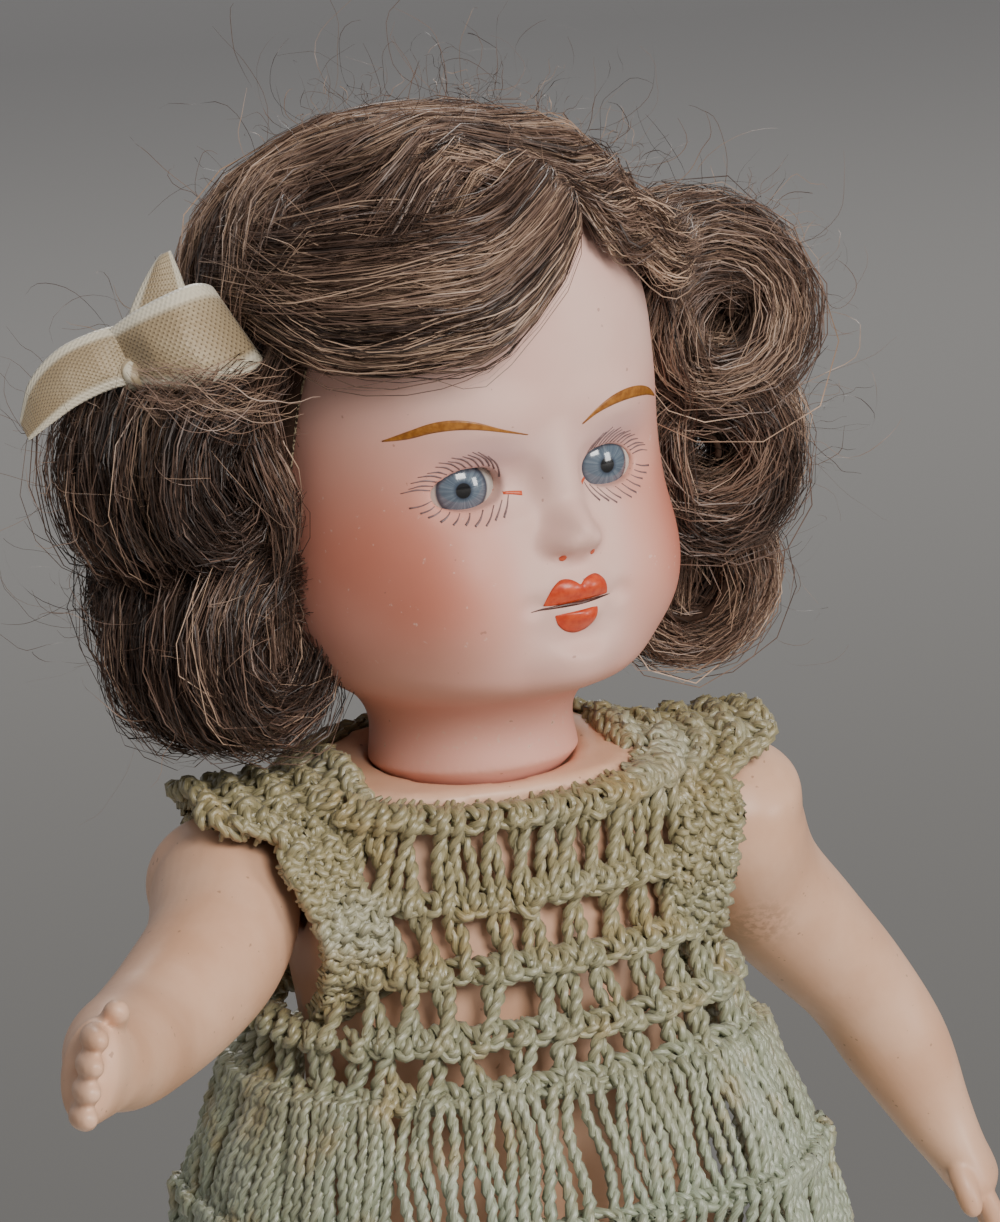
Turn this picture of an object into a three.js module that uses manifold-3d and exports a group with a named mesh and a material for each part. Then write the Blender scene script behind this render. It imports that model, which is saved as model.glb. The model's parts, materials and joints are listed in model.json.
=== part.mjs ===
// A small bisque socket-head doll in a crocheted dress, standing on its soles.
// Millimetres.  The doll faces -Y, its own left side is +X and +Z is up.
import * as THREE from "three";
import { mergeVertices } from "three/addons/utils/BufferGeometryUtils.js";
import Module from "manifold-3d";

const wasm = await Module();
wasm.setup();

// Fits
const GAP = 0.35;
const JOINT_GAP = 0.4;

// Stance
const HIP_HEIGHT = 82;
const TORSO_LENGTH = 60;
const SHOULDER_DROP = 10.5;
const HEAD_TURN = 12;
const RIGHT_ARM_SWING = 70;
const LEFT_ARM_SWING = -28;

// Bisque head, measured up from the neck rim
const CHIN_RISE = 8.2;
const HEAD_HEIGHT = 48.6;
const HEAD_WIDTH = 36.6;
const FACE_DEPTH = 18.5;
const SKULL_DEPTH = 19.5;
const NECK_RADIUS = 9.6;
const NECK_BALL_RADIUS = 12;
const BISQUE_WALL = 2;
const CROWN_CUT_RISE = 40;
const EYE_RISE = 18.9;
const EYE_SPREAD = 7.1;
const EYE_RADIUS = 4.6;
const EYE_SET_BACK = 0.75;
const EYE_OPENING_WIDTH = 6.5;
const EYE_OPENING_HEIGHT = 3.8;
const NOSE_RISE = 14.4;
const MOUTH_RISE = 8.6;
const STRING_HOLE_RADIUS = 3.4;

// Wig and bow
const PATE_THICKNESS = 1.4;
const CAP_THICKNESS = 0.6;
const HAIR_THICKNESS = 1.4;
const HAIR_LIFT = 2.4;
const CURL_BORE = 1.2;
const CURL_BAND = 2;
const CURL_TURNS = 1.55;
const CURL_LENGTH = 13;
const RIBBON_WIDTH = 6.4;
const RIBBON_THICKNESS = 0.5;
const BOW_LOOP_LENGTH = 13;
const BOW_TAIL_LENGTH = 10.5;
const BOW_KNOT_RADIUS = 2.3;

// Body
const COMPOSITION_WALL = 2.4;
const SHOULDER_HALF_WIDTH = 18.2;
const HIP_BLOCK_HALF_WIDTH = 7.5;
const ARM_ROOT_RADIUS = 7.8;
const LEG_ROOT_RADIUS = 9.4;
const COLLAR_TILT = 7;
const FINGER_RADIUS = 1.15;
const SOLE_THICKNESS = 1.6;
const SHOE_LENGTH = 22;
const SHOE_WIDTH = 12;

// Stringing
const WIRE_RADIUS = 0.5;
const HOOK_BEND = 1.8;
const ELASTIC_RADIUS = 0.8;

// Dress
const DRESS_THICKNESS = 2;
const WAIST_EASE = 3.6;
const WAIST_RISE = 33;
const SKIRT_LENGTH = 49;
const HEM_HALF_WIDTH = 37;
const HEM_HALF_DEPTH = 33;
const SKIRT_FOLDS = 10;
const SKIRT_OPENINGS = 20;
const FOLD_DEPTH = 1.5;
const SLEEVE_LENGTH = 9;
const SLEEVE_SPREAD = 47;

const { sin, cos, abs, sign, sqrt, min, max, hypot, PI } = Math;
const radians = THREE.MathUtils.degToRad;
const vec = (x, y, z) => new THREE.Vector3(x, y, z);

// Smooth curve through rows of [place, value, value, ...]: all the values at one place.
function curveThrough(rows) {
  return (place) => {
    let i = 0;
    while (i < rows.length - 2 && place > rows[i + 1][0]) i += 1;
    const [here, next] = [rows[i], rows[i + 1]];
    const before = rows[max(i - 1, 0)];
    const after = rows[min(i + 2, rows.length - 1)];
    const span = next[0] - here[0];
    const t = THREE.MathUtils.clamp((place - here[0]) / span, 0, 1);
    return here.slice(1).map((value, k) => {
      const leave = ((next[k + 1] - before[k + 1]) / (next[0] - before[0])) * span;
      const arrive = ((after[k + 1] - value) / (after[0] - here[0])) * span;
      const rise = next[k + 1] - value;
      return value + t * (leave + t * (3 * rise - 2 * leave - arrive + t * (leave + arrive - 2 * rise)));
    });
  };
}

// Evenly spaced numbers from one end to the other.
function spaced(from, to, count) {
  return Array.from({ length: count }, (_, i) => from + ((to - from) * i) / (count - 1));
}

// Angles round a level, from the front towards the doll's left, closer together in front.
function turns(count, crowding = 0) {
  return Array.from({ length: count }, (_, i) => {
    const turn = (2 * PI * i) / count;
    return turn - crowding * sin(turn);
  });
}

// A point of a rounded level with its own depth in front and behind.
function levelPoint(angle, z, [width, front, back], power) {
  const side = sin(angle);
  const ahead = cos(angle);
  const depth = ahead > 0 ? -front : back;
  return vec(width * sign(side) * abs(side) ** (2 / power), depth * abs(ahead) ** (2 / power), z);
}

// Closed skin over a row of rings that have the same number of points.
function skin(rings) {
  const count = rings[0].length;
  const last = rings.length - 1;
  const points = rings.flat();
  const index = [];
  for (let r = 0; r < last; r += 1) {
    for (let i = 0; i < count; i += 1) {
      const a = r * count + i;
      const b = r * count + ((i + 1) % count);
      index.push(a, b, b + count, a, b + count, a + count);
    }
  }
  for (const end of [0, last]) {
    const hub = points.length;
    const middle = vec(0, 0, 0);
    rings[end].forEach((point) => middle.addScaledVector(point, 1 / count));
    points.push(middle);
    for (let i = 0; i < count; i += 1) {
      const a = end * count + i;
      const b = end * count + ((i + 1) % count);
      index.push(...(end === 0 ? [hub, b, a] : [hub, a, b]));
    }
  }
  const geometry = new THREE.BufferGeometry().setFromPoints(points);
  geometry.setIndex(index);
  return geometry;
}

// A limb: rings square to a spine given as rows of [place, x, y, z, half width, half depth].
function limb(rows, rings, count, ahead = vec(0, -1, 0)) {
  const at = curveThrough(rows);
  const first = rows[0][0];
  const end = rows[rows.length - 1][0];
  return skin(spaced(first, end, rings).map((place) => {
    const [x, y, z, wide, deep] = at(place);
    const back = at(max(place - 0.01, first));
    const front = at(min(place + 0.01, end));
    const along = vec(front[0] - back[0], front[1] - back[1], front[2] - back[2]).normalize();
    const fore = ahead.clone().addScaledVector(along, -along.dot(ahead)).normalize();
    const side = along.clone().cross(fore);
    return turns(count).map((angle) => vec(x, y, z)
      .addScaledVector(side, wide * cos(angle))
      .addScaledVector(fore, deep * sin(angle)));
  }));
}

// A closed shape as a solid that can be joined and cut.
function solid(geometry) {
  const bare = new THREE.BufferGeometry();
  bare.setAttribute("position", geometry.getAttribute("position"));
  bare.setIndex(geometry.getIndex());
  const merged = mergeVertices(bare, 1e-4);
  const corners = Float32Array.from(merged.getAttribute("position").array);
  const faces = Uint32Array.from(merged.getIndex().array);
  let volume = 0;
  const [a, b, c] = [vec(), vec(), vec()];
  for (let i = 0; i < faces.length; i += 3) {
    a.fromArray(corners, 3 * faces[i]);
    b.fromArray(corners, 3 * faces[i + 1]);
    c.fromArray(corners, 3 * faces[i + 2]);
    volume += a.dot(b.cross(c));
  }
  if (volume < 0) faces.reverse();
  return new wasm.Manifold(new wasm.Mesh({ numProp: 3, vertProperties: corners, triVerts: faces }));
}

// The shape of a solid, turned over to the other side of the doll if asked.
function shape(body, mirrored = false) {
  const mesh = body.getMesh();
  const corners = Float32Array.from(mesh.vertProperties);
  const faces = Uint32Array.from(mesh.triVerts);
  if (mirrored) {
    for (let i = 0; i < corners.length; i += 3) corners[i] *= -1;
    faces.reverse();
  }
  const geometry = new THREE.BufferGeometry();
  geometry.setAttribute("position", new THREE.BufferAttribute(corners, 3));
  geometry.setIndex(new THREE.BufferAttribute(faces, 1));
  return geometry;
}

function join(bodies) {
  return bodies.reduce((whole, body) => whole.add(body));
}

function cut(body, tools) {
  return tools.reduce((rest, tool) => rest.subtract(tool), body);
}

function box(from, to) {
  const geometry = new THREE.BoxGeometry(to[0] - from[0], to[1] - from[1], to[2] - from[2]);
  return solid(geometry.translate((from[0] + to[0]) / 2, (from[1] + to[1]) / 2, (from[2] + to[2]) / 2));
}

function ellipsoid(centre, [x, y, z], around = 12, up = 8) {
  return solid(new THREE.SphereGeometry(1, around, up).scale(x, y, z).translate(...centre));
}

function ball(centre, radius, around = 16, up = 10) {
  return ellipsoid(centre, [radius, radius, radius], around, up);
}

// A round bar along X, Y or Z.
function bar(axis, from, to, radius, sides = 14) {
  const geometry = new THREE.CylinderGeometry(radius, radius, to - from, sides);
  geometry.translate(0, (from + to) / 2, 0);
  if (axis === "x") geometry.rotateZ(-PI / 2);
  if (axis === "z") geometry.rotateX(PI / 2);
  return geometry;
}

function tube(points, radius, steps) {
  const section = new THREE.Shape().absarc(0, 0, radius, 0, 2 * PI);
  const path = new THREE.CatmullRomCurve3(points.map((point) => vec(...point)), false, "centripetal");
  return new THREE.ExtrudeGeometry(section, { steps, extrudePath: path, curveSegments: 3 });
}

const paint = (color, roughness, metalness = 0) =>
  new THREE.MeshStandardMaterial({ color, roughness, metalness });
const finish = {
  bisque: paint(0xe9c4b4, 0.45),
  card: paint(0xb79a72, 0.9),
  glass: paint(0x7f93ad, 0.08),
  plaster: paint(0xe6e0d2, 0.9),
  wood: paint(0xb98d5a, 0.6),
  wire: paint(0x8a8680, 0.4, 1),
  gauze: paint(0xcdbfa5, 0.9),
  mohair: paint(0x5b4632, 0.6),
  ribbon: paint(0xd9cfb4, 0.6),
  composition: paint(0xd9a68c, 0.4),
  elastic: paint(0xcfc6b4, 0.8),
  thread: paint(0xa9a27c, 0.45),
};

function piece(group, name, geometry, material) {
  const mesh = new THREE.Mesh(geometry, material);
  mesh.name = name;
  group.add(mesh);
}

// The head's levels: height above the neck rim, half width, depth in front, depth behind.
const half = HEAD_WIDTH / 2;
const level = (share) => CHIN_RISE + share * HEAD_HEIGHT;
const headTop = level(1);
const headLevels = curveThrough([
  [0, NECK_RADIUS, NECK_RADIUS, NECK_RADIUS],
  [0.45 * CHIN_RISE, 0.97 * NECK_RADIUS, 0.98 * NECK_RADIUS, 0.97 * NECK_RADIUS],
  [0.76 * CHIN_RISE, 1.1 * NECK_RADIUS, 1.22 * NECK_RADIUS, 1.04 * NECK_RADIUS],
  [level(0), 0.73 * half, 0.92 * FACE_DEPTH, 0.6 * SKULL_DEPTH],
  [level(0.05), 0.86 * half, 1.01 * FACE_DEPTH, 0.69 * SKULL_DEPTH],
  [level(0.13), 0.97 * half, 1.04 * FACE_DEPTH, 0.81 * SKULL_DEPTH],
  [level(0.24), half, 1.02 * FACE_DEPTH, 0.92 * SKULL_DEPTH],
  [level(0.4), 0.98 * half, 0.96 * FACE_DEPTH, 0.99 * SKULL_DEPTH],
  [level(0.55), 0.97 * half, 0.98 * FACE_DEPTH, SKULL_DEPTH],
  [level(0.7), 0.93 * half, 0.96 * FACE_DEPTH, 0.97 * SKULL_DEPTH],
  [level(0.83), 0.8 * half, 0.85 * FACE_DEPTH, 0.84 * SKULL_DEPTH],
  [level(0.93), 0.55 * half, 0.58 * FACE_DEPTH, 0.58 * SKULL_DEPTH],
  [level(0.98), 0.31 * half, 0.33 * FACE_DEPTH, 0.33 * SKULL_DEPTH],
  [headTop, 0, 0, 0],
]);
const headPower = (z) => 2 + 0.3 * THREE.MathUtils.smoothstep(z, 0.5 * CHIN_RISE, level(0.15));
const headPoint = (angle, z) => levelPoint(angle, z, headLevels(z), headPower(z));

// Where the modeller pushes the clay of the face: place across and up, reach, push out, spread.
const eyeHeight = CHIN_RISE + EYE_RISE;
const noseHeight = CHIN_RISE + NOSE_RISE;
const mouthHeight = CHIN_RISE + MOUTH_RISE;
const touches = [
  { across: 0, up: noseHeight + 4.2, wide: 3, tall: 6.4, push: 1.3 },
  { across: 0, up: noseHeight + 0.1, wide: 3.2, tall: 3.4, push: 3.1 },
  { across: 2, up: noseHeight - 0.7, wide: 1.9, tall: 1.8, push: 1.2 },
  { across: EYE_SPREAD, up: eyeHeight + 0.3, wide: 6, tall: 4.9, push: -1.5 },
  { across: EYE_SPREAD, up: eyeHeight + 6.4, wide: 8, tall: 3.8, push: 0.5 },
  { across: 10.4, up: mouthHeight + 1.6, wide: 8, tall: 8, push: 1.5, spread: 0.5 },
  { across: 0, up: mouthHeight + 0.6, wide: 6.4, tall: 5, push: 1.1 },
  { across: 0, up: mouthHeight - 3.9, wide: 3.6, tall: 1.7, push: -0.6 },
  { across: 0, up: CHIN_RISE + 2.6, wide: 5.6, tall: 4.4, push: 1.4 },
];
const near = (distance) => max(0, 1 - distance) ** 2;
function pushAt(x, z) {
  let [push, spread] = [0, 0];
  for (const touch of touches) {
    const across = (abs(x) - touch.across) / touch.wide;
    const up = (z - touch.up) / touch.tall;
    const weight = near(across * across + up * up);
    push += weight * touch.push;
    spread += weight * (touch.spread ?? 0) * sign(x);
  }
  return [push, spread];
}

// How far forward the modelled skin lies at one place of the face.
function faceDepth(x, z) {
  const [width, front] = headLevels(z);
  const power = headPower(z);
  return front * (1 - (abs(x) / width) ** power) ** (1 / power) + pushAt(x, z)[0];
}

// The bare head form with its face and small ears.
const earPlace = [0.98 * half, 1.5, eyeHeight - 2];
function modelled(point) {
  if (point.y < 0) {
    const [push, spread] = pushAt(point.x, point.z);
    point.y -= push;
    point.x += spread;
  }
  const behind = (point.y - earPlace[1]) / 3.4;
  const up = (point.z - earPlace[2]) / 5.6;
  point.x += sign(point.x) * 2 * near(behind * behind + up * up);
  return point;
}

const neckBallRise = sqrt(NECK_BALL_RADIUS ** 2 - NECK_RADIUS ** 2);
const neckDepth = NECK_BALL_RADIUS - neckBallRise;
const crownCut = CHIN_RISE + CROWN_CUT_RISE;
function neckRings(count) {
  return [0.34, 0.6, 0.8].map((share) => {
    const radius = NECK_RADIUS * share * 1.1;
    const z = neckBallRise - sqrt(NECK_BALL_RADIUS ** 2 - radius ** 2);
    return turns(count, 0.45).map((angle) => levelPoint(angle, z, [radius, radius, radius], 2));
  });
}

function headSolid() {
  const count = 38;
  const heights = [
    ...spaced(0, 0.7 * CHIN_RISE, 3),
    ...spaced(0.8 * CHIN_RISE, eyeHeight + 8, 21),
    ...spaced(eyeHeight + 11, crownCut, 4),
  ];
  const rings = heights.map((z) => turns(count, 0.45).map((angle) => modelled(headPoint(angle, z))));
  return solid(skin([...neckRings(count), ...rings]));
}

// The head's form moved in or out from its bare surface, for the wall and for what lies on it.
function headOffset(offset, from, to, rows, count, finished = (point) => point) {
  return solid(skin(spaced(from, to, rows).map((z) => {
    const sizes = headLevels(z).map((size, k) => min(size, headLevels(z + min(offset, 0))[k]) + offset);
    return turns(count).map((angle) => finished(levelPoint(angle, z, sizes, headPower(z))));
  })));
}

const eyePlaces = [1, -1].map((side) => {
  const skinDepth = faceDepth(EYE_SPREAD, eyeHeight);
  return [side * EYE_SPREAD, EYE_RADIUS + EYE_SET_BACK - skinDepth, eyeHeight];
});

function eyeOpening([x, y, z]) {
  const [wide, tall] = [EYE_OPENING_WIDTH / 2, EYE_OPENING_HEIGHT / 2];
  const outline = new THREE.Shape();
  outline.moveTo(-wide, 0);
  outline.bezierCurveTo(-0.6 * wide, 1.25 * tall, 0.6 * wide, 1.25 * tall, wide, 0);
  outline.bezierCurveTo(0.6 * wide, -1.25 * tall, -0.6 * wide, -1.25 * tall, -wide, 0);
  const through = new THREE.ExtrudeGeometry(outline, { depth: 20, bevelEnabled: false, curveSegments: 7 });
  return solid(through.rotateX(PI / 2).translate(x, y, z));
}

function lips() {
  const skinDepth = faceDepth(0, mouthHeight);
  const upper = [1, -1].map((side) =>
    ellipsoid([1.35 * side, 0.25 - skinDepth, mouthHeight + 0.75], [1.9, 1, 0.72]));
  const lower = ellipsoid([0, 0.2 - skinDepth, mouthHeight - 0.95], [2.2, 1.1, 0.85]);
  return [...upper, lower];
}

const neckFloor = 0.4;
const cavity = headOffset(-BISQUE_WALL, neckFloor, crownCut + 2, 11, 20);
const innerSpace = headOffset(-BISQUE_WALL - GAP, 3, crownCut - 1, 11, 20);
const bisque = cut(join([headSolid(), ...lips()]), [
  cavity,
  solid(bar("z", -neckDepth - 2, 2, STRING_HOLE_RADIUS)),
  ...eyePlaces.map((place) => ball(place, EYE_RADIUS + GAP)),
  ...eyePlaces.map(eyeOpening),
]);

const head = new THREE.Group();
piece(head, "bisque_head", shape(bisque), finish.bisque);
["left", "right"].forEach((side, i) => {
  const [x, y, z] = eyePlaces[i];
  piece(head, `eye_${side}`, shape(ball(eyePlaces[i], EYE_RADIUS, 13, 8)), finish.glass);
  const daub = ellipsoid([x, y + 3, z], [EYE_RADIUS + 1, EYE_RADIUS + 0.6, EYE_RADIUS + 1.4]);
  const plaster = cut(daub.intersect(innerSpace), [ball(eyePlaces[i], EYE_RADIUS + GAP, 12, 8)]);
  piece(head, `eye_plaster_${side}`, shape(plaster), finish.plaster);
});

const pate = headOffset(0, crownCut + GAP, headTop - 0.3, 7, 14)
  .subtract(headOffset(-PATE_THICKNESS, crownCut - 3, headTop - 2, 7, 14));
piece(head, "crown_pate", shape(pate), finish.card);

// Wooden button in the neck and the wire hook that it carries.
const buttonFloor = neckFloor + GAP;
const buttonRadius = NECK_RADIUS - BISQUE_WALL - 1;
const hookEye = buttonFloor + 4.6;
const button = new THREE.LatheGeometry([
  [WIRE_RADIUS + GAP, 0],
  [0.7 * buttonRadius, 0],
  [buttonRadius, 1.4],
  [buttonRadius, 2.4],
  [0.5 * buttonRadius, 3.4],
  [WIRE_RADIUS + GAP, 3.4],
  [WIRE_RADIUS + GAP, 0],
].map(([radius, rise]) => new THREE.Vector2(radius, rise)), 12);
piece(head, "neck_button", shape(solid(button.rotateX(PI / 2).translate(0, 0, buttonFloor))), finish.wood);
const hookDrop = neckDepth + COMPOSITION_WALL + 6;
const neckHook = tube([
  [0, 4, hookEye],
  [0, 1, hookEye],
  [0, 0.2, hookEye - 0.5],
  [0, 0, hookEye - 1.6],
  [0, 0, -neckDepth],
  [0, 0, -hookDrop + HOOK_BEND],
  [0, -0.5 * HOOK_BEND, -hookDrop + 0.3],
  [0, -HOOK_BEND, -hookDrop],
  [0, -1.6 * HOOK_BEND, -hookDrop + 0.3],
  [0, -2 * HOOK_BEND, -hookDrop + HOOK_BEND],
], WIRE_RADIUS, 15);
piece(head, "neck_hook", shape(solid(neckHook)), finish.wire);

// The hairline: high over the brow, low behind the ears and at the nape.
const hairlineCurve = curveThrough([
  [0, level(0.85)],
  [0.2 * PI, level(0.74)],
  [0.38 * PI, level(0.5)],
  [0.5 * PI, level(0.32)],
  [0.62 * PI, level(0.14)],
  [0.8 * PI, level(0.06)],
  [PI, level(0.05)],
]);
const hairline = (angle) => hairlineCurve(abs(Math.atan2(sin(angle), cos(angle))))[0];
const skullCentre = vec(0, 0, level(0.48));

// A point over the scalp, from the hairline (0) to the crown (1), lifted off the skull.
function overScalp(angle, share, lift) {
  const low = hairline(angle);
  const z = low + (headTop - 0.15 - low) * (0.5 * share + 0.5 * sin((share * PI) / 2));
  const point = headPoint(angle, z).sub(skullCentre);
  return point.setLength(point.length() + lift).add(skullCentre);
}

function hairForm(lift, rows, count, skirt = 0) {
  const rings = spaced(0, 0.97, rows).map((share) =>
    turns(count).map((angle) => overScalp(angle, share, lift(angle, share))));
  if (skirt > 0) {
    rings.unshift(rings[0].map((point) => point.clone().add(vec(0, 0, -skirt))));
  }
  return solid(skin(rings));
}

const scalpGap = 2.8 * GAP;
const capLift = scalpGap + CAP_THICKNESS;
const earRoom = [1, -1].map((side) => {
  const [x, y, z] = earPlace;
  return ellipsoid([side * x, y, z], [2.4 + GAP, 3.6 + GAP, 5.8 + GAP]);
});
const cap = hairForm(() => capLift, 9, 22).subtract(hairForm(() => scalpGap, 9, 22, 8));
piece(head, "wig_cap", shape(cut(cap, earRoom)), finish.gauze);

// Combed hair, raised most towards the back of the doll's right side.
const crownLift = (angle, share) =>
  capLift + GAP + HAIR_THICKNESS + HAIR_LIFT * (0.5 - 0.5 * cos(angle - 0.25 * PI)) * sin(share * 0.8 * PI);
const hairUnder = hairForm(() => capLift + GAP, 9, 22, 8);
const hairCrown = cut(hairForm(crownLift, 9, 22), [hairUnder, ...earRoom]);
piece(head, "hair_crown", shape(hairCrown), finish.mohair);
const hairCrownRoom = hairForm((angle, share) => crownLift(angle, share) + GAP, 9, 22);
const headRoom = headOffset(1.4 * GAP, 0.5 * CHIN_RISE, headTop - 1, 18, 24, modelled);

// Locks swept from the parting over the brow, as rows of [angle, height share, lift off the skull].
function lock(path, tall, deep) {
  const rows = path.map(([degrees, height, lift], i) => {
    const share = i / (path.length - 1);
    const point = headPoint(radians(degrees), level(height)).sub(skullCentre);
    point.setLength(point.length() + lift).add(skullCentre);
    const swell = 0.45 + 0.55 * sin(PI * (0.12 + 0.76 * share));
    return [share, point.x, point.y, point.z, deep * swell, tall * swell];
  });
  return solid(limb(rows, 10, 11, vec(0, -0.2, 1)));
}
const browPath = [
  [14, 0.87, 3],
  [5, 0.81, 3.4],
  [-6, 0.74, 3.6],
  [-22, 0.675, 3.8],
  [-39, 0.652, 3.8],
  [-56, 0.675, 4],
  [-71, 0.724, 4.2],
  [-82, 0.765, 4.2],
];
const templePath = [
  [15, 0.87, 2.8],
  [20, 0.82, 3.2],
  [29, 0.768, 3.6],
  [42, 0.727, 4],
  [58, 0.697, 4.2],
];
const taken = [hairCrownRoom, headRoom, ...earRoom];
const locks = [
  ["lock_right", browPath, 3.2, 2.4],
  ["lock_left", templePath, 2.2, 2.2],
];
for (const [name, path, tall, deep] of locks) {
  piece(head, name, shape(cut(lock(path, tall, deep), taken)), finish.mohair);
  taken.push(lock(path, tall + GAP, deep + GAP));
}

// A band of even thickness that stands on its edge along a level path.
function band(path, thickness, width) {
  const sides = [1, -1].map((side) => path.map(([x, y], i) => {
    const [ax, ay] = path[max(i - 1, 0)];
    const [bx, by] = path[min(i + 1, path.length - 1)];
    const shift = (side * thickness) / 2 / hypot(bx - ax, by - ay);
    return new THREE.Vector2(x - shift * (by - ay), y + shift * (bx - ax));
  }));
  const outline = new THREE.Shape([...sides[0], ...sides[1].reverse()]);
  const geometry = new THREE.ExtrudeGeometry(outline, { depth: width, bevelEnabled: false });
  return geometry.translate(0, 0, -width / 2);
}

// A lock rolled up on itself from the head's side, its axis turned in the level plane.
function curl({ at, radius, heading }) {
  const inward = at[0] > 0 ? PI : 0;
  const turn = at[0] > 0 ? -1 : 1;
  const path = spaced(0, 1, 18).map((share) => {
    const angle = inward + turn * CURL_TURNS * 2 * PI * share;
    const reach = radius - CURL_BAND / 2 - (radius - CURL_BAND - CURL_BORE) * share;
    return [reach * cos(angle), reach * sin(angle)];
  });
  const rolled = band(path, CURL_BAND, CURL_LENGTH).rotateX(PI / 2);
  return solid(rolled.rotateZ(-radians(heading)).translate(...at));
}

function curlRoom({ at, radius, heading }) {
  const reach = CURL_LENGTH / 2 + GAP;
  return solid(bar("y", -reach, reach, radius + GAP).rotateZ(-radians(heading)).translate(...at));
}
const sideReach = half + GAP;
const curls = [
  { name: "curl_left_1", at: [sideReach + 8, -3, level(0.635)], radius: 8, heading: 8 },
  { name: "curl_left_2", at: [sideReach + 7, -2, level(0.315)], radius: 7.2, heading: 8 },
  { name: "curl_left_3", at: [sideReach + 5.4, 2, level(0.02)], radius: 7, heading: 14 },
  { name: "curl_right_1", at: [-sideReach - 8.2, 5, level(0.43)], radius: 9, heading: -16 },
  { name: "curl_right_2", at: [-sideReach - 5.8, 4, level(0.08)], radius: 8, heading: -18 },
  { name: "curl_back_1", at: [-15.5, SKULL_DEPTH + 2.4, level(0.13)], radius: 7.4, heading: 54 },
  { name: "curl_back_2", at: [0.5, SKULL_DEPTH + 7.4, level(0.11)], radius: 7.6, heading: 90 },
  { name: "curl_back_3", at: [16, SKULL_DEPTH + 1.8, level(0.13)], radius: 7.4, heading: -54 },
];
for (const roll of curls) {
  piece(head, roll.name, shape(cut(curl(roll), taken)), finish.mohair);
  taken.push(curlRoom(roll));
}

// Ribbon bow on the doll's right: two loops, two tails and the knot that gathers them.
function ribbonLoop(length) {
  const path = spaced(0.04, 0.96, 15).map((share) => {
    const turn = 2 * PI * share;
    return [0.5 * length * (1 - cos(turn)), 0.26 * length * sin(turn) * sin(turn / 2)];
  });
  return ribbonBand(path);
}

// A length of ribbon that starts beside the knot.
function ribbonBand(path) {
  return band(path, RIBBON_THICKNESS, RIBBON_WIDTH).translate(BOW_KNOT_RADIUS + GAP, 0, 0);
}

function ribbonTail(length) {
  const path = spaced(0, 1, 10).map((share) => [length * share, 1.6 * sin(1.2 * PI * share) * share]);
  return ribbonBand(path);
}
const bow = new THREE.Group();
bow.position.set(-sideReach - 12, 1.5, level(0.637));
const bowParts = [
  ["bow_loop_front", ribbonLoop(BOW_LOOP_LENGTH), [radians(12), radians(-4), radians(-68)]],
  ["bow_loop_back", ribbonLoop(BOW_LOOP_LENGTH), [radians(-30), radians(-68), radians(30)]],
  ["bow_tail_outer", ribbonTail(BOW_TAIL_LENGTH), [radians(0), radians(30), radians(186)]],
  ["bow_tail_back", ribbonTail(0.7 * BOW_TAIL_LENGTH), [radians(0), radians(20), radians(150)]],
];
bowParts.forEach(([name, geometry, [tip, pitch, swing]]) => {
  const turned = geometry.rotateX(tip).rotateY(pitch).rotateZ(swing);
  piece(bow, name, shape(solid(turned)), finish.ribbon);
});
piece(bow, "bow_knot", shape(ball([0, 0, 0], BOW_KNOT_RADIUS, 10, 7)), finish.ribbon);
head.add(bow);

// The body's levels above the hip axis: half width, depth in front, depth behind.
const neckRim = TORSO_LENGTH;
const shoulderRise = TORSO_LENGTH - SHOULDER_DROP;
const collar = NECK_RADIUS + JOINT_GAP + 1.5;
const torsoLevels = curveThrough([
  [-10.5, 4.5, 4.5, 5],
  [-8.5, 9, 9, 9.5],
  [-3, 14, 11.5, 12.5],
  [5, 18.6, 12.8, 13.8],
  [13, 20, 13.8, 13.6],
  [22, 18.8, 14.2, 12.4],
  [WAIST_RISE, 17.6, 13.4, 12],
  [shoulderRise - 7, SHOULDER_HALF_WIDTH + 0.4, 12.8, 12.2],
  [shoulderRise, SHOULDER_HALF_WIDTH + 1.4, 11.8, 11.8],
  [neckRim - 4.6, SHOULDER_HALF_WIDTH + 0.4, 11, 11.2],
  [neckRim - 2.2, SHOULDER_HALF_WIDTH - 1.8, 11, 11.2],
  [neckRim - 0.6, SHOULDER_HALF_WIDTH - 4.6, collar, collar],
  [neckRim + 0.8, collar + 0.4, collar, collar],
  [neckRim + 2.5, collar, collar, collar],
]);
const torsoForm = (offset, from, to, rows, count) => solid(skin(spaced(from, to, rows).map((z) =>
  turns(count).map((angle) => levelPoint(angle, z, torsoLevels(z).map((size) => size + offset), 2.4)))));

// Room for the legs under the body, wider all round by the wall for the hollow's sake.
function legRoom(grow) {
  const radius = LEG_ROOT_RADIUS + JOINT_GAP + grow;
  const inside = HIP_BLOCK_HALF_WIDTH - grow;
  return [1, -1].flatMap((side) => {
    const [low, high] = side > 0 ? [inside, 40] : [-40, -inside];
    return [
      solid(bar("x", low, high, radius, 20)),
      box([low, -40, -40], [high, 0, radius]),
      box([low, 0, -40], [high, 40, 0.28 * radius]),
    ];
  });
}

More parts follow.
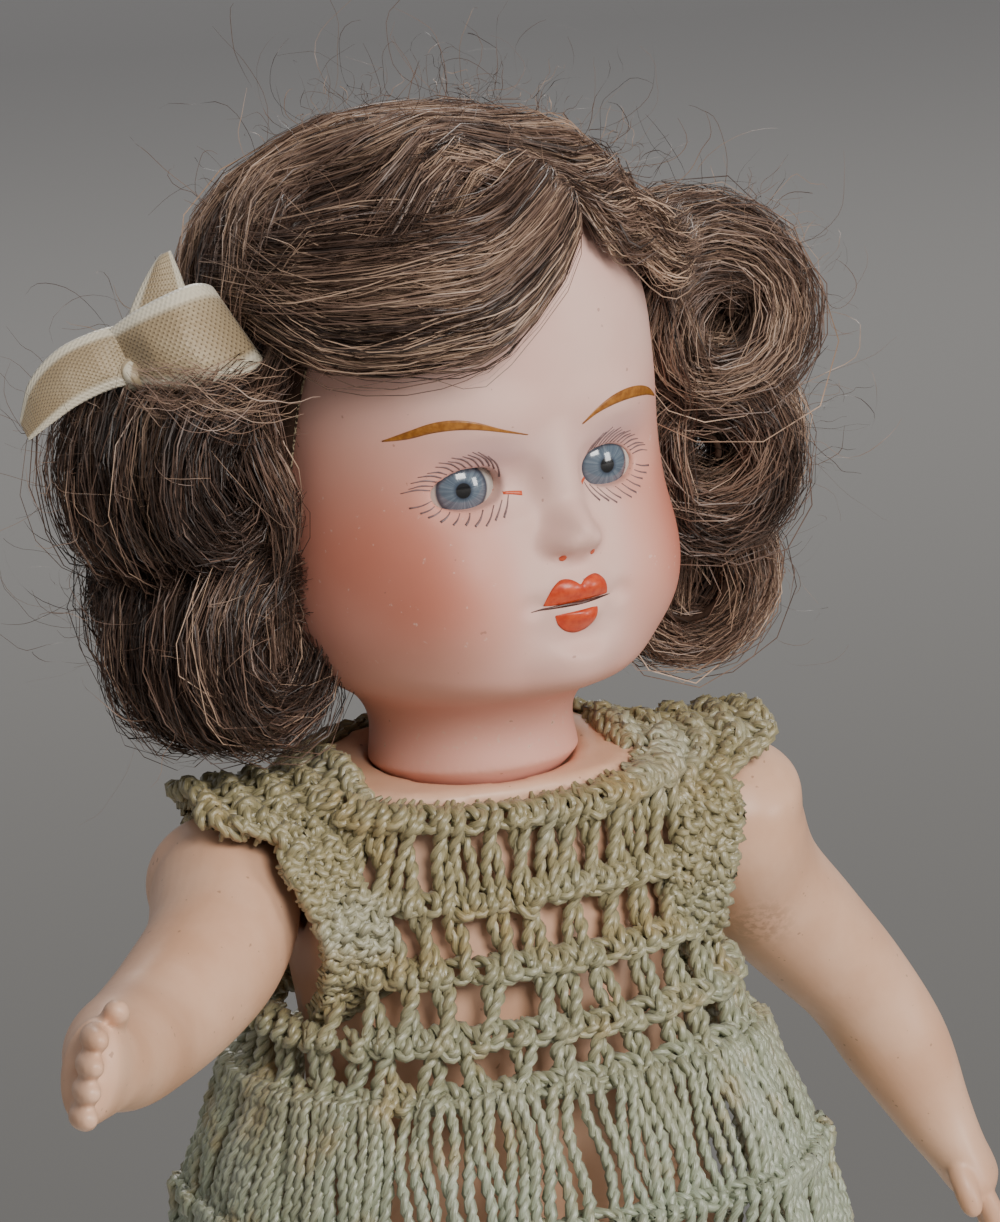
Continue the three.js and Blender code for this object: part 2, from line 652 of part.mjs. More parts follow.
const cupCentre = [0, 0, neckRim + neckBallRise];
const shoulderTrim = (grow) => [1, -1].map((side) => {
  const face = SHOULDER_HALF_WIDTH - grow;
  const [low, high] = side > 0 ? [face, 40] : [-40, -face];
  return box([low, -40, shoulderRise - 40], [high, 40, neckRim + 10]);
});
const collarTrim = solid(new THREE.BoxGeometry(80, 80, 20)
  .translate(0, 0, 10)
  .rotateX(radians(COLLAR_TILT))
  .translate(0, 0, neckRim));
const hollow = cut(torsoForm(-COMPOSITION_WALL, -7, neckRim - 1, 9, 14), [
  ...legRoom(COMPOSITION_WALL),
  ...shoulderTrim(COMPOSITION_WALL),
  ball(cupCentre, NECK_BALL_RADIUS + JOINT_GAP + COMPOSITION_WALL),
  box([-40, -40, neckRim - neckDepth - COMPOSITION_WALL], [40, 40, neckRim + 10]),
]);
const shoulderHoleRadius = HOOK_BEND + 1.6;
const torsoSolid = cut(torsoForm(0, -10.5, neckRim + 2.5, 17, 20), [
  hollow,
  collarTrim,
  ball(cupCentre, NECK_BALL_RADIUS + JOINT_GAP, 22, 14),
  solid(bar("z", neckRim - neckDepth - 6, neckRim, STRING_HOLE_RADIUS)),
  ...legRoom(0),
  ...shoulderTrim(0),
  solid(bar("x", -40, 40, shoulderHoleRadius).translate(0, 0, shoulderRise)),
  solid(bar("x", -40, 40, shoulderHoleRadius)),
]);
const torso = new THREE.Group();
piece(torso, "torso", shape(torsoSolid), finish.composition);

// Left arm, hanging: its flat root face lies at x = 0 and swings about the X axis there.
const palmEnd = [32.1, -12.6, -39.7];
function armSolid() {
  const arm = limb([
    [0, 6, 0, 7.7, 1.2, 1.6],
    [0.35, 6, 0, 7.1, 3.6, 3.6],
    [1, 6, 0, 5, 6, 6.2],
    [2, 6.1, 0, 0, 6.8, ARM_ROOT_RADIUS],
    [3, 9.6, 0, -7.4, 6.4, 6.8],
    [4, 15.4, -0.5, -14.6, 5.9, 6.1],
    [5, 21, -2, -21.2, 5.3, 5.5],
    [6, 25.2, -5.2, -27.6, 5, 5],
    [7, 28.4, -8.6, -33.6, 3.7, 4],
    [8, 30.4, -10.9, -37, 2.9, 4.5],
    [8.7, ...palmEnd, 2.4, 4.5],
    [9, 32.7, -13.3, -40.7, 1.2, 3],
  ], 16, 11);
  const along = vec(0.476, -0.476, -0.74);
  const fore = vec(-0.258, -0.88, 0.4);
  const inward = vec(-0.841, 0, -0.542);
  const finger = (base, bends, radius) => {
    const rows = bends.map(([out, up, curled, share], i) => {
      const at = vec(...base).addScaledVector(along, out);
      at.addScaledVector(fore, up).addScaledVector(inward, curled);
      return [i, at.x, at.y, at.z, radius * share, radius * share];
    });
    return solid(limb(rows, 5, 6, fore));
  };
  const fingers = [-1.5, -0.5, 0.5, 1.5].map((slot) => {
    const long = 6 - 0.5 * abs(slot - 0.4);
    const across = 1.92 * FINGER_RADIUS * slot;
    return finger(palmEnd, [
      [-1.6, across, 0, 0.9],
      [0.45 * long, across, 0.3, 1],
      [0.85 * long, across, 1.2, 0.9],
      [long, across, 1.8, 0.45],
    ], FINGER_RADIUS);
  });
  const thumb = finger(palmEnd, [
    [-4.4, 2.6, 0.4, 0.9],
    [-2.2, 4.6, 1, 1.05],
    [0, 5.4, 1.5, 0.95],
    [1, 5.6, 1.7, 0.45],
  ], FINGER_RADIUS);
  const root = box([-20, -30, -30], [0, 30, 30]);
  return cut(join([solid(arm), ...fingers, thumb]), [root, solid(bar("x", -1, 4, WIRE_RADIUS + GAP, 10))]);
}

// Left leg, hanging: flat root face at x = 0, moulded sock edge, strap shoe and flat sole.
function legSolid() {
  const floor = -HIP_HEIGHT;
  const ankle = floor + 14;
  const knee = 0.45 * floor;
  const calf = 0.6 * floor;
  const leg = limb([
    [0, 6.8, 0, LEG_ROOT_RADIUS, 1.4, 1.8],
    [0.35, 6.8, 0, 0.92 * LEG_ROOT_RADIUS, 4, 4],
    [1, 6.8, 0, 0.62 * LEG_ROOT_RADIUS, 6.6, 7.4],
    [2, 6.8, 0, 0, 7.5, LEG_ROOT_RADIUS],
    [3, 6.7, 0, 0.2 * floor, 7.5, 8.7],
    [4, 6.5, -0.4, knee, 6, 6.4],
    [4.7, 6.4, 0.3, calf + 3, 6.2, 7],
    [4.8, 6.4, 0.4, calf + 1.6, 6.8, 7.6],
    [5, 6.4, 0.5, calf, 6.8, 7.6],
    [5.1, 6.4, 0.5, calf - 1, 6.1, 6.8],
    [6, 6.3, 0.6, ankle, 4.5, 5],
    [7, 6.3, 0.4, floor + 5, 4.4, 5.2],
    [7.4, 6.3, 0.4, floor + 3, 3.8, 4.6],
  ], 17, 10);
  const instep = SHOE_LENGTH / 2 - 4;
  const foot = ellipsoid([6.4, -instep, floor + 3.4], [0.46 * SHOE_WIDTH, 0.47 * SHOE_LENGTH, 5.2], 10, 7);
  const bridge = ellipsoid([6.3, -0.5 * instep, floor + 6], [0.4 * SHOE_WIDTH, 0.34 * SHOE_LENGTH, 5.4], 10, 6);
  const [wide, long] = [SHOE_WIDTH / 2, SHOE_LENGTH];
  const outline = new THREE.Shape();
  outline.moveTo(0, 0);
  outline.bezierCurveTo(0.9 * wide, 0, 0.82 * wide, 0.3 * long, 0.86 * wide, 0.5 * long);
  outline.bezierCurveTo(1.1 * wide, 0.75 * long, 0.8 * wide, long, 0, long);
  outline.bezierCurveTo(-0.8 * wide, long, -1.1 * wide, 0.75 * long, -0.86 * wide, 0.5 * long);
  outline.bezierCurveTo(-0.82 * wide, 0.3 * long, -0.9 * wide, 0, 0, 0);
  const plate = { depth: SOLE_THICKNESS, bevelEnabled: false, curveSegments: 4 };
  const sole = new THREE.ExtrudeGeometry(outline, plate).rotateZ(PI).translate(6.4, 7, floor);
  const strap = new THREE.TorusGeometry(4.5, 0.8, 4, 12).scale(1, 1.1, 1).rotateX(0.3)
    .translate(6.2, 0.2, floor + 9.5);
  const under = box([-30, -40, floor - 20], [40, 40, floor]);
  const root = box([-30, -40, -30], [0, 40, 30]);
  const body = join([solid(leg), foot, bridge, solid(sole), solid(strap)]);
  return cut(body, [under, root, solid(bar("x", -1, 4, WIRE_RADIUS + GAP, 10))]);
}

// A hook that leaves a limb's root face and bends up or down inside the body.
function limbHook(reach, bendUp) {
  const bend = bendUp * HOOK_BEND;
  return solid(tube([
    [3.4, 0, 0],
    [0.6 - reach, 0, 0],
    [-reach, 0, 0],
    [-reach - 0.72 * HOOK_BEND, 0, 0.28 * bend],
    [-reach - HOOK_BEND, 0, bend],
    [-reach - 0.72 * HOOK_BEND, 0, 1.72 * bend],
    [-reach, 0, 2 * bend],
  ], WIRE_RADIUS, 12));
}

const armHookReach = COMPOSITION_WALL + 4.2;
const legHookReach = HIP_BLOCK_HALF_WIDTH + JOINT_GAP - 2 * HOOK_BEND - 0.2;
const armRoot = SHOULDER_HALF_WIDTH + JOINT_GAP;
const legRoot = HIP_BLOCK_HALF_WIDTH + JOINT_GAP;
const arm = armSolid();
const armHook = limbHook(armHookReach, -1);
const leg = legSolid();
const legHook = limbHook(legHookReach, 1);
for (const [side, turn, swing] of [["left", 1, LEFT_ARM_SWING], ["right", -1, RIGHT_ARM_SWING]]) {
  const mirrored = turn < 0;
  const shoulder = new THREE.Group();
  shoulder.position.set(turn * armRoot, 0, shoulderRise);
  shoulder.rotation.x = -radians(swing);
  piece(shoulder, `arm_${side}`, shape(arm, mirrored), finish.composition);
  torso.add(shoulder);
  const straight = new THREE.Group();
  straight.position.copy(shoulder.position);
  piece(straight, `arm_hook_${side}`, shape(armHook, mirrored), finish.wire);
  torso.add(straight);
  const hip = new THREE.Group();
  hip.position.set(turn * legRoot, 0, 0);
  piece(hip, `leg_${side}`, shape(leg, mirrored), finish.composition);
  piece(hip, `leg_hook_${side}`, shape(legHook, mirrored), finish.wire);
  torso.add(hip);
}

// Elastic cords: arm to arm, and leg to leg over the neck hook, a knot's length past each hook.
const armHold = [armRoot - armHookReach, shoulderRise - HOOK_BEND];
const armCord = [
  [-armHold[0], -3, armHold[1]],
  [-armHold[0], 1, armHold[1]],
  [-armHold[0] + 2, 2.6, armHold[1]],
  [0, 3, armHold[1]],
  [armHold[0] - 2, 2.6, armHold[1]],
  [armHold[0], 1, armHold[1]],
  [armHold[0], -3, armHold[1]],
];
piece(torso, "arm_elastic", shape(solid(tube(armCord, ELASTIC_RADIUS, 15))), finish.elastic);
const legHold = legRoot - legHookReach;
const neckHold = neckRim - hookDrop + HOOK_BEND;
const legCord = [
  [-legHold, 3.4, HOOK_BEND],
  [-legHold, -1, HOOK_BEND],
  [-legHold, -3.4, HOOK_BEND + 2.4],
  [-legHold + 0.4, -3.6, 12],
  [-3.4, -HOOK_BEND, neckHold - 4],
  [-1.6, -HOOK_BEND, neckHold - 0.3],
  [0, -HOOK_BEND, neckHold],
  [1.6, -HOOK_BEND, neckHold - 0.3],
  [3.4, -HOOK_BEND, neckHold - 4],
  [legHold - 0.4, -3.6, 12],
  [legHold, -3.4, HOOK_BEND + 2.4],
  [legHold, -1, HOOK_BEND],
  [legHold, 3.4, HOOK_BEND],
];
piece(torso, "leg_elastic", shape(solid(tube(legCord, ELASTIC_RADIUS, 26))), finish.elastic);

// Crocheted yoke: an even layer over the chest with a round neckline, armholes and cap sleeves.
const neckline = (angle) => neckRim - 1.2 - 2.4 * near(sin(angle / 2) ** 2 * 1.6);
const waistEase = (z) => WAIST_EASE * (1 - THREE.MathUtils.smoothstep(z, WAIST_RISE, shoulderRise - 3));
function yoke(offset, extra) {
  const rings = spaced(0, 1, 8).map((share) => turns(24).map((angle) => {
    const z = WAIST_RISE + GAP + (neckline(angle) - WAIST_RISE - GAP) * share;
    const lift = offset * THREE.MathUtils.smoothstep(z, shoulderRise, neckRim - 2);
    const loose = offset + waistEase(z);
    return levelPoint(angle, z, torsoLevels(z - lift).map((size) => size + loose), 2.4);
  }));
  if (extra) {
    rings.unshift(rings[0].map((point) => point.clone().setZ(point.z - 3)));
    rings.push(rings[rings.length - 1].map((point) => point.clone().setZ(point.z + 4)));
  }
  return solid(skin(rings));
}
const armholeRadius = ARM_ROOT_RADIUS + 4.6;
const sleeveInside = ARM_ROOT_RADIUS + JOINT_GAP + 0.7;
function sleeve(side) {
  const from = SHOULDER_HALF_WIDTH - 2;
  const to = SHOULDER_HALF_WIDTH + SLEEVE_LENGTH;
  const profile = [
    [from, 0],
    [to - 1, 0],
    [to, 0.5 * DRESS_THICKNESS],
    [to - 1, DRESS_THICKNESS],
    [from, DRESS_THICKNESS],
  ];
  return solid(skin(spaced(-SLEEVE_SPREAD, SLEEVE_SPREAD, 9).map((degrees) => profile.map(([x, rise]) => {
    const radius = sleeveInside + rise;
    const tilt = radians(degrees);
    return vec(side * x, radius * sin(tilt), shoulderRise + radius * cos(tilt));
  }))));
}
const armholes = [1, -1].map((side) => {
  const [low, high] = side > 0 ? [SHOULDER_HALF_WIDTH - 0.8, 40] : [-40, 0.8 - SHOULDER_HALF_WIDTH];
  return solid(bar("x", low, high, armholeRadius, 20).translate(0, 0, shoulderRise));
});
const yokeShell = cut(yoke(GAP + DRESS_THICKNESS, false), [yoke(GAP, true), ...armholes]);
piece(torso, "dress_bodice", shape(join([yokeShell, sleeve(1), sleeve(-1)])), finish.thread);

// Cloth of even thickness in rows of cells from an outer and an inner skin, some cells left open.
function openCloth(rows, columns, place, isOpen) {
  const points = [];
  for (const depth of [0, DRESS_THICKNESS]) {
    for (let row = 0; row <= rows; row += 1) {
      for (let column = 0; column < columns; column += 1) points.push(place(row, column, depth));
    }
  }
  const index = [];
  const corner = (row, column, layer) => (layer * (rows + 1) + row) * columns + (column % columns);
  const quad = (a, b, c, d) => index.push(a, b, c, a, c, d);
  const gone = (row, column) => row < 0 || row >= rows || isOpen(row, (column + columns) % columns);
  for (let row = 0; row < rows; row += 1) {
    for (let column = 0; column < columns; column += 1) {
      if (gone(row, column)) continue;
      const [a, b, c, d] = [[0, 0], [1, 0], [1, 1], [0, 1]].map(([r, k]) => corner(row + r, column + k, 0));
      const [e, f, g, h] = [[0, 0], [1, 0], [1, 1], [0, 1]].map(([r, k]) => corner(row + r, column + k, 1));
      quad(a, b, c, d);
      quad(e, h, g, f);
      if (gone(row - 1, column)) quad(a, d, h, e);
      if (gone(row + 1, column)) quad(c, b, f, g);
      if (gone(row, column - 1)) quad(b, a, e, f);
      if (gone(row, column + 1)) quad(d, c, g, h);
    }
  }
  const geometry = new THREE.BufferGeometry().setFromPoints(points);
  geometry.setIndex(index);
  return geometry;
}

// Skirt of long loops in hanging folds: chain rows, and between them strands with openings.
const waist = torsoLevels(WAIST_RISE + GAP);
const tierEdges = [0, 0.06, 0.27, 0.33, 0.6, 0.66, 0.94, 1];
const skirtColumns = 2 * SKIRT_OPENINGS;
function skirtPoint(row, column, depth) {
  const share = tierEdges[row];
  const angle = (2 * PI * column) / skirtColumns;
  const flare = share ** 0.6;
  const fold = FOLD_DEPTH * share * cos(SKIRT_FOLDS * angle + 0.6 * sin(3 * angle));
  const hem = [HEM_HALF_WIDTH, HEM_HALF_DEPTH, HEM_HALF_DEPTH];
  const top = waist.map((size) => size + GAP + DRESS_THICKNESS + WAIST_EASE);
  const sizes = top.map((size, k) => size + (hem[k] - size) * flare + fold - depth);
  return levelPoint(angle, WAIST_RISE - SKIRT_LENGTH * share, sizes, 2.4 - 0.3 * share);
}
const isOpening = (row, column) => row % 2 === 1 && column % 2 === 1;
const skirt = openCloth(tierEdges.length - 1, skirtColumns, skirtPoint, isOpening);
piece(torso, "dress_skirt", shape(solid(skirt)), finish.thread);

// The head sits in the neck cup, turned a little; the whole stands centred on its base.
head.position.set(0, 0, neckRim);
head.rotation.z = radians(HEAD_TURN);
torso.add(head);
torso.position.z = HIP_HEIGHT;
const doll = new THREE.Group();
doll.add(torso);
doll.updateMatrixWorld(true);
const reach = new THREE.Box3().setFromObject(doll, true);
doll.position.set(-(reach.min.x + reach.max.x) / 2, -(reach.min.y + reach.max.y) / 2, -reach.min.z);

export default doll;
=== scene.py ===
# %% [markdown]
# # A bisque doll in a crocheted dress
#
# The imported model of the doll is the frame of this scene: every piece below sits where its solid
# sits, in metres, with the doll facing -Y and its own left side at +X.  The solids stay for the
# moving and the touching, and most of what shows is modelled again here, finer than a solid can
# be: the painted face, the combed hair, the ribbon and every thread of the dress.

# %% Load the frame
import json
import math

import bmesh
import bpy
import numpy as np
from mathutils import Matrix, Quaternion, Vector
from mathutils.bvhtree import BVHTree


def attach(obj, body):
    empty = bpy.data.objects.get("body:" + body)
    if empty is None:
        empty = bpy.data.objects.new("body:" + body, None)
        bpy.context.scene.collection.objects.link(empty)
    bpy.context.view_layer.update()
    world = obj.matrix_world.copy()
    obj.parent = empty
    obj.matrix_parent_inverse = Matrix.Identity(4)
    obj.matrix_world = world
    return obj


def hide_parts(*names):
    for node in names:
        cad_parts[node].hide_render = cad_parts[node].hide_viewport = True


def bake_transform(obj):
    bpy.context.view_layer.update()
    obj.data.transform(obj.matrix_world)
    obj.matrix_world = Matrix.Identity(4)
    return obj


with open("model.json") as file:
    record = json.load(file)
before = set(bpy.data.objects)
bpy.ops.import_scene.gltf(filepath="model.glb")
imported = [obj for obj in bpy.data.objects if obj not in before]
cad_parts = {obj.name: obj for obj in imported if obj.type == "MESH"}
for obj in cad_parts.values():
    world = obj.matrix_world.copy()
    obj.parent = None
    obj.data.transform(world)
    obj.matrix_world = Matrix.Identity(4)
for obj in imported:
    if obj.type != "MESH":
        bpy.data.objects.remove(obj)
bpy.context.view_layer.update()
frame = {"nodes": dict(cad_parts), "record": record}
joints = {joint["name"]: joint for joint in frame["record"]["behaviour"]["joints"]}
neck = np.array(joints["head_swivel"]["pos_m"])
MM = 0.001
HEAD_TURN = math.radians(12)
rng = np.random.default_rng(7)
print("pieces in the frame:", len(frame["nodes"]), "neck at", neck.round(4))

# %% [markdown]
# ## Two places to measure from
#
# The head is easiest to model facing straight ahead, in millimetres up from the neck rim, as a
# head maker would.  One function carries such points to where the turned head really is.  Another
# builds a mesh from rows of points, for the forms that are thousands of threads and hairs, and a
# few more take up the steps that many pieces share.

# %% From the head's own measures to the scene
def in_scene(points):
    """Points of the straight head, in millimetres, placed on the turned head in metres."""
    points = np.asarray(points, float)
    x, y, z = points[..., 0], points[..., 1], points[..., 2]
    c, s = math.cos(HEAD_TURN), math.sin(HEAD_TURN)
    return np.stack([c * x - s * y, s * x + c * y, z], -1) * MM + neck


def on_head(points):
    """The way back: scene points as millimetres of the straight head."""
    x, y, z = np.moveaxis((np.asarray(points, float) - neck) / MM, -1, 0)
    c, s = math.cos(HEAD_TURN), math.sin(HEAD_TURN)
    return np.stack([c * x + s * y, -s * x + c * y, z], -1)


def mesh_piece(name, points, faces, **values):
    """A mesh object from points in metres and faces of equal size, with a value for each point."""
    points, faces = np.asarray(points, np.float32).reshape(-1, 3), np.asarray(faces, np.int32)
    mesh = bpy.data.meshes.new(name)
    mesh.vertices.add(len(points))
    mesh.vertices.foreach_set("co", points.ravel())
    mesh.loops.add(faces.size)
    mesh.loops.foreach_set("vertex_index", faces.ravel())
    mesh.polygons.add(len(faces))
    mesh.polygons.foreach_set("loop_start", np.arange(0, faces.size, faces.shape[1], dtype=np.int32))
    mesh.polygons.foreach_set("use_smooth", np.full(len(faces), True))
    mesh.update()
    mesh.validate()
    piece = bpy.data.objects.new(name, mesh)
    bpy.context.collection.objects.link(piece)
    keep(piece, **values)
    return piece


def smoothstep(low, high, value):
    t = np.clip((np.asarray(value, float) - low) / (high - low), 0, 1)
    return t * t * (3 - 2 * t)


def unit(vectors):
    return vectors / (np.linalg.norm(vectors, axis=-1, keepdims=True) + 1e-9)


print("chin lies at", in_scene([0, -18, 10]).round(4))

# %% Helpers for meshes
def grid_faces(rows, columns, closed=False):
    """Faces between rows of points; a closed grid joins its last column to its first."""
    r, i = np.meshgrid(np.arange(rows - 1), np.arange(columns if closed else columns - 1), indexing="ij")
    after = (i + 1) % columns
    low, high = r * columns, (r + 1) * columns
    return np.stack([low + i, low + after, high + after, high + i], -1).reshape(-1, 4)


def places(piece):
    """The points of a mesh, in metres."""
    found = np.empty(len(piece.data.vertices) * 3)
    piece.data.vertices.foreach_get("co", found)
    return found.reshape(-1, 3)


def move_points(piece, points):
    piece.data.vertices.foreach_set("co", points.ravel())
    piece.data.update()


def keep(piece, **values):
    """A number for each point of a mesh, for its shader to read."""
    for key, numbers in values.items():
        kept = piece.data.attributes.new(key, "FLOAT", "POINT")
        kept.data.foreach_set("value", np.asarray(numbers, np.float32).ravel())


def sphere(name, segments, rings, radius=1):
    bpy.ops.object.select_all(action="DESELECT")
    bpy.ops.mesh.primitive_uv_sphere_add(segments=segments, ring_count=rings, radius=radius)
    made = bpy.context.object
    made.name = name
    return made


def use(piece, kind, **settings):
    """Adds a modifier with its settings and applies it."""
    bpy.ops.object.select_all(action="DESELECT")
    piece.select_set(True)
    bpy.context.view_layer.objects.active = piece
    made = piece.modifiers.new("step", kind)
    for key, value in settings.items():
        setattr(made, key, value)
    bpy.ops.object.modifier_apply(modifier=made.name)


def close_ends(piece):
    """Fills the open ends of a tube and turns its faces outwards."""
    shaped = bmesh.new()
    shaped.from_mesh(piece.data)
    bmesh.ops.holes_fill(shaped, edges=shaped.edges)
    bmesh.ops.recalc_face_normals(shaped, faces=shaped.faces)
    shaped.to_mesh(piece.data)
    shaped.free()
    return piece


print("a tube of 4 rings of 6 points has", len(grid_faces(4, 6, closed=True)), "faces")

# %% [markdown]
# ## A shorthand for shader nodes
#
# Materials are graphs of nodes, and sums such as `1 - mask` read better than a dozen Math nodes
# placed one by one.  `Value` wraps one socket and turns Python operators into Math nodes;
# `Finish` owns a material and adds any other node with one method.

# %% Shader shorthand
class Value:
    def __init__(self, finish, socket):
        self.finish, self.socket = finish, socket

    def _with(self, operation, first, second):
        return self.finish.node("ShaderNodeMath", {"operation": operation}, {0: first, 1: second})

    def __add__(self, other):
        return self._with("ADD", self, other)

    def __sub__(self, other):
        return self._with("SUBTRACT", self, other)

    def __rsub__(self, other):
        return self._with("SUBTRACT", other, self)

    def __mul__(self, other):
        return self._with("MULTIPLY", self, other)

    def __abs__(self):
        return self.finish.node("ShaderNodeMath", {"operation": "ABSOLUTE"}, {0: self})

    def sine(self):
        return self.finish.node("ShaderNodeMath", {"operation": "SINE"}, {0: self})

    __radd__ = __add__
    __rmul__ = __mul__


class Finish:
    """A material on a Principled shader whose even settings are given by socket name."""

    def __init__(self, name, **even):
        self.material = bpy.data.materials.new(name)
        self.material.use_nodes = True
        self.tree = self.material.node_tree
        self.shader = self.tree.nodes["Principled BSDF"]
        for socket, value in even.items():
            self.shader.inputs[socket.replace("_", " ")].default_value = value

    def node(self, kind, settings=None, links=None, out=0):
        made = self.tree.nodes.new(kind)
        for key, value in (settings or {}).items():
            if key == "stops":
                ramp = made.color_ramp
                while len(ramp.elements) < len(value):
                    ramp.elements.new(0.5)
                for element, (place, colour) in zip(ramp.elements, value):
                    element.position, element.color = place, (*colour, 1)
            else:
                setattr(made, key, value)
        for socket, value in (links or {}).items():
            self.link(value, made.inputs[socket])
        return Value(self, made.outputs[out])

    def link(self, value, socket):
        if isinstance(value, Value):
            self.tree.links.new(value.socket, socket)
        elif socket.type == "RGBA" and len(value) == 3:
            socket.default_value = (*value, 1)
        else:
            socket.default_value = value

    def place(self):
        return self.node("ShaderNodeTexCoord", out="Object")

    def vector(self, operation, *values, out=0):
        return self.node("ShaderNodeVectorMath", {"operation": operation}, dict(enumerate(values)), out)

    def kept(self, name):
        return self.node("ShaderNodeAttribute", {"attribute_name": name}, out="Fac")

    def noise(self, scale, detail=3.0, vector=None, rough=0.55):
        links = {"Vector": vector or self.place(), "Scale": scale, "Detail": detail, "Roughness": rough}
        return self.node("ShaderNodeTexNoise", None, links)

    def between(self, value, low, high, start=0.0, end=1.0):
        settings = {"interpolation_type": "SMOOTHSTEP", "clamp": True}
        links = {"Value": value, "From Min": low, "From Max": high, "To Min": start, "To Max": end}
        return self.node("ShaderNodeMapRange", settings, links)

    def mixed(self, factor, first, second, blend="MIX"):
        settings = {"data_type": "RGBA", "blend_type": blend, "clamp_factor": True}
        return self.node("ShaderNodeMix", settings, {0: factor, 6: first, 7: second}, out=2)

    def give(self, **sockets):
        for socket, value in sockets.items():
            self.link(value, self.shader.inputs[socket.replace("_", " ")])
        return self

    def bump(self, height, distance, strength=1.0):
        links = {"Height": height, "Distance": distance, "Strength": strength}
        return self.give(Normal=self.node("ShaderNodeBump", None, links))

    def grained(self, pattern, low, high, rough, rougher, distance, strength):
        """Colour, roughness and a shallow relief that all follow one pattern."""
        self.give(Base_Color=self.mixed(pattern, low, high), Roughness=rough + pattern * rougher)
        return self.bump(pattern, distance, strength)


def tint(red, green, blue):
    """A colour as it looks on screen, 0 to 255, in the linear light that shaders use."""
    parts = np.array([red, green, blue]) / 255
    linear = np.where(parts < 0.04045, parts / 12.92, ((parts + 0.055) / 1.055) ** 2.4)
    return tuple(float(v) for v in linear)


def dress_up(piece, finish, body, slot, *nodes):
    """Gives a piece its finish, the body it rides on and the solids it stands for; the slot is not used."""
    piece.data.materials.clear()
    piece.data.materials.append(finish.material)
    if body:
        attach(piece, body)
    if nodes:
        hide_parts(*nodes)
    return piece


print("middle grey is", tint(118, 116, 114))

# %% [markdown]
# ## Camera, floor and light
#
# The doll is seen from a little above, from the side of its lifted arm, close enough that the
# picture ends below the waist.  A long lens keeps the head in proportion.  The floor is pale where
# the doll stands and falls away to the quiet grey of a studio sweep, and three broad lamps light
# it softly: the largest high in front, a small one low at the right and one from behind.

# %% Camera
AZIMUTH, ELEVATION, ROLL = math.radians(-20), math.radians(12), math.radians(4)
DISTANCE, PIXELS_PER_MM = 0.62, 11.0
PICTURE, NECK_PIXEL = (1000, 1222), (473, 748)
SENSOR = 36
back = Vector((math.sin(AZIMUTH) * math.cos(ELEVATION), -math.cos(AZIMUTH) * math.cos(ELEVATION),
               math.sin(ELEVATION)))
camera = bpy.data.objects.new("camera", bpy.data.cameras.new("camera"))
bpy.context.collection.objects.link(camera)
facing = back.to_track_quat("Z", "Y").to_matrix()
facing.rotate(Quaternion(back, -ROLL))
right, up = facing.col[0], facing.col[1]
aim = Vector(neck) + right * (PICTURE[0] / 2 - NECK_PIXEL[0]) / PIXELS_PER_MM * MM
aim += up * (NECK_PIXEL[1] - PICTURE[1] / 2) / PIXELS_PER_MM * MM
camera.matrix_world = facing.to_4x4()
camera.location = aim + back * DISTANCE
camera.data.lens = SENSOR * DISTANCE / MM * PIXELS_PER_MM / PICTURE[1]
camera.data.clip_start = 0.02
bpy.context.scene.camera = camera
print("lens", round(camera.data.lens, 1), "camera at", tuple(round(v, 3) for v in camera.location))

# %% Floor and lamps
bpy.ops.object.select_all(action="DESELECT")
bpy.ops.mesh.primitive_circle_add(vertices=96, radius=4, fill_type="TRIFAN", location=(0, 0, -0.0004))
floor = bpy.context.object
floor.name = "floor"
sweep = Finish("studio_sweep", Roughness=0.9)
far = sweep.vector("LENGTH", sweep.place(), out="Value")
shade = sweep.between(far, 0.1, 0.3) + sweep.noise(9) * 0.02
grey = sweep.mixed(sweep.between(far, 0.25, 2.1), tint(106, 105, 103), tint(188, 186, 184))
sweep.give(Base_Color=sweep.mixed(shade, tint(216, 213, 208), grey))
floor.data.materials.append(sweep.material)
LIT_PLACE = Vector((0, 0, 0.15))


def lamp(name, place, size, watts, colour):
    light = bpy.data.lights.new(name, "AREA")
    light.shape, light.size, light.size_y = "RECTANGLE", *size
    light.energy, light.color = watts, colour
    made = bpy.data.objects.new(name, light)
    bpy.context.collection.objects.link(made)
    made.location = place
    made.rotation_euler = (Vector(place) - LIT_PLACE).to_track_quat("Z", "Y").to_euler()


lamp("lamp_front", (0.16, -1.12, 0.82), (0.55, 0.55), 15.5, (1, 0.96, 0.91))
lamp("lamp_side", (0.86, -0.9, 0.3), (0.3, 0.4), 5, (1, 0.98, 0.96))
lamp("lamp_behind", (0.35, 0.9, 0.9), (0.5, 0.5), 6, (1, 0.98, 0.95))
world = bpy.data.worlds.new("studio")
bpy.context.scene.world = world
world.use_nodes = True
surround = world.node_tree.nodes["Background"]
surround.inputs["Color"].default_value = (0.98, 0.98, 1, 1)
surround.inputs["Strength"].default_value = 0.31
print("floor of", round(floor.dimensions.x, 2), "m and three lamps")

# %% [markdown]
# ## The bisque head
#
# A bisque head is poured in a mould that was taken from a modelled clay head, so its forms are
# soft: full cheeks, a small nose, a raised mouth, shallow sockets.  Here a dense sphere is drawn
# out ring by ring to the head's levels, and then pushed and pulled at a few named places like
# clay.  The eye holes are cut through with almond shaped cutters, and a fine remesh melts the
# whole into one even skin, as the slip does in the mould.

# %% Head levels
CHIN, TALL, HALF, FACE, SKULL, NECK = 8.2, 48.6, 18.3, 18.5, 19.5, 9.6
BALL = 12.0
BALL_RISE = math.sqrt(BALL**2 - NECK**2)
EYE_UP, NOSE_UP, MOUTH_UP, EYE_SPREAD = CHIN + 18.9, CHIN + 14.4, CHIN + 8.6, 7.1


def level(share):
    return CHIN + share * TALL


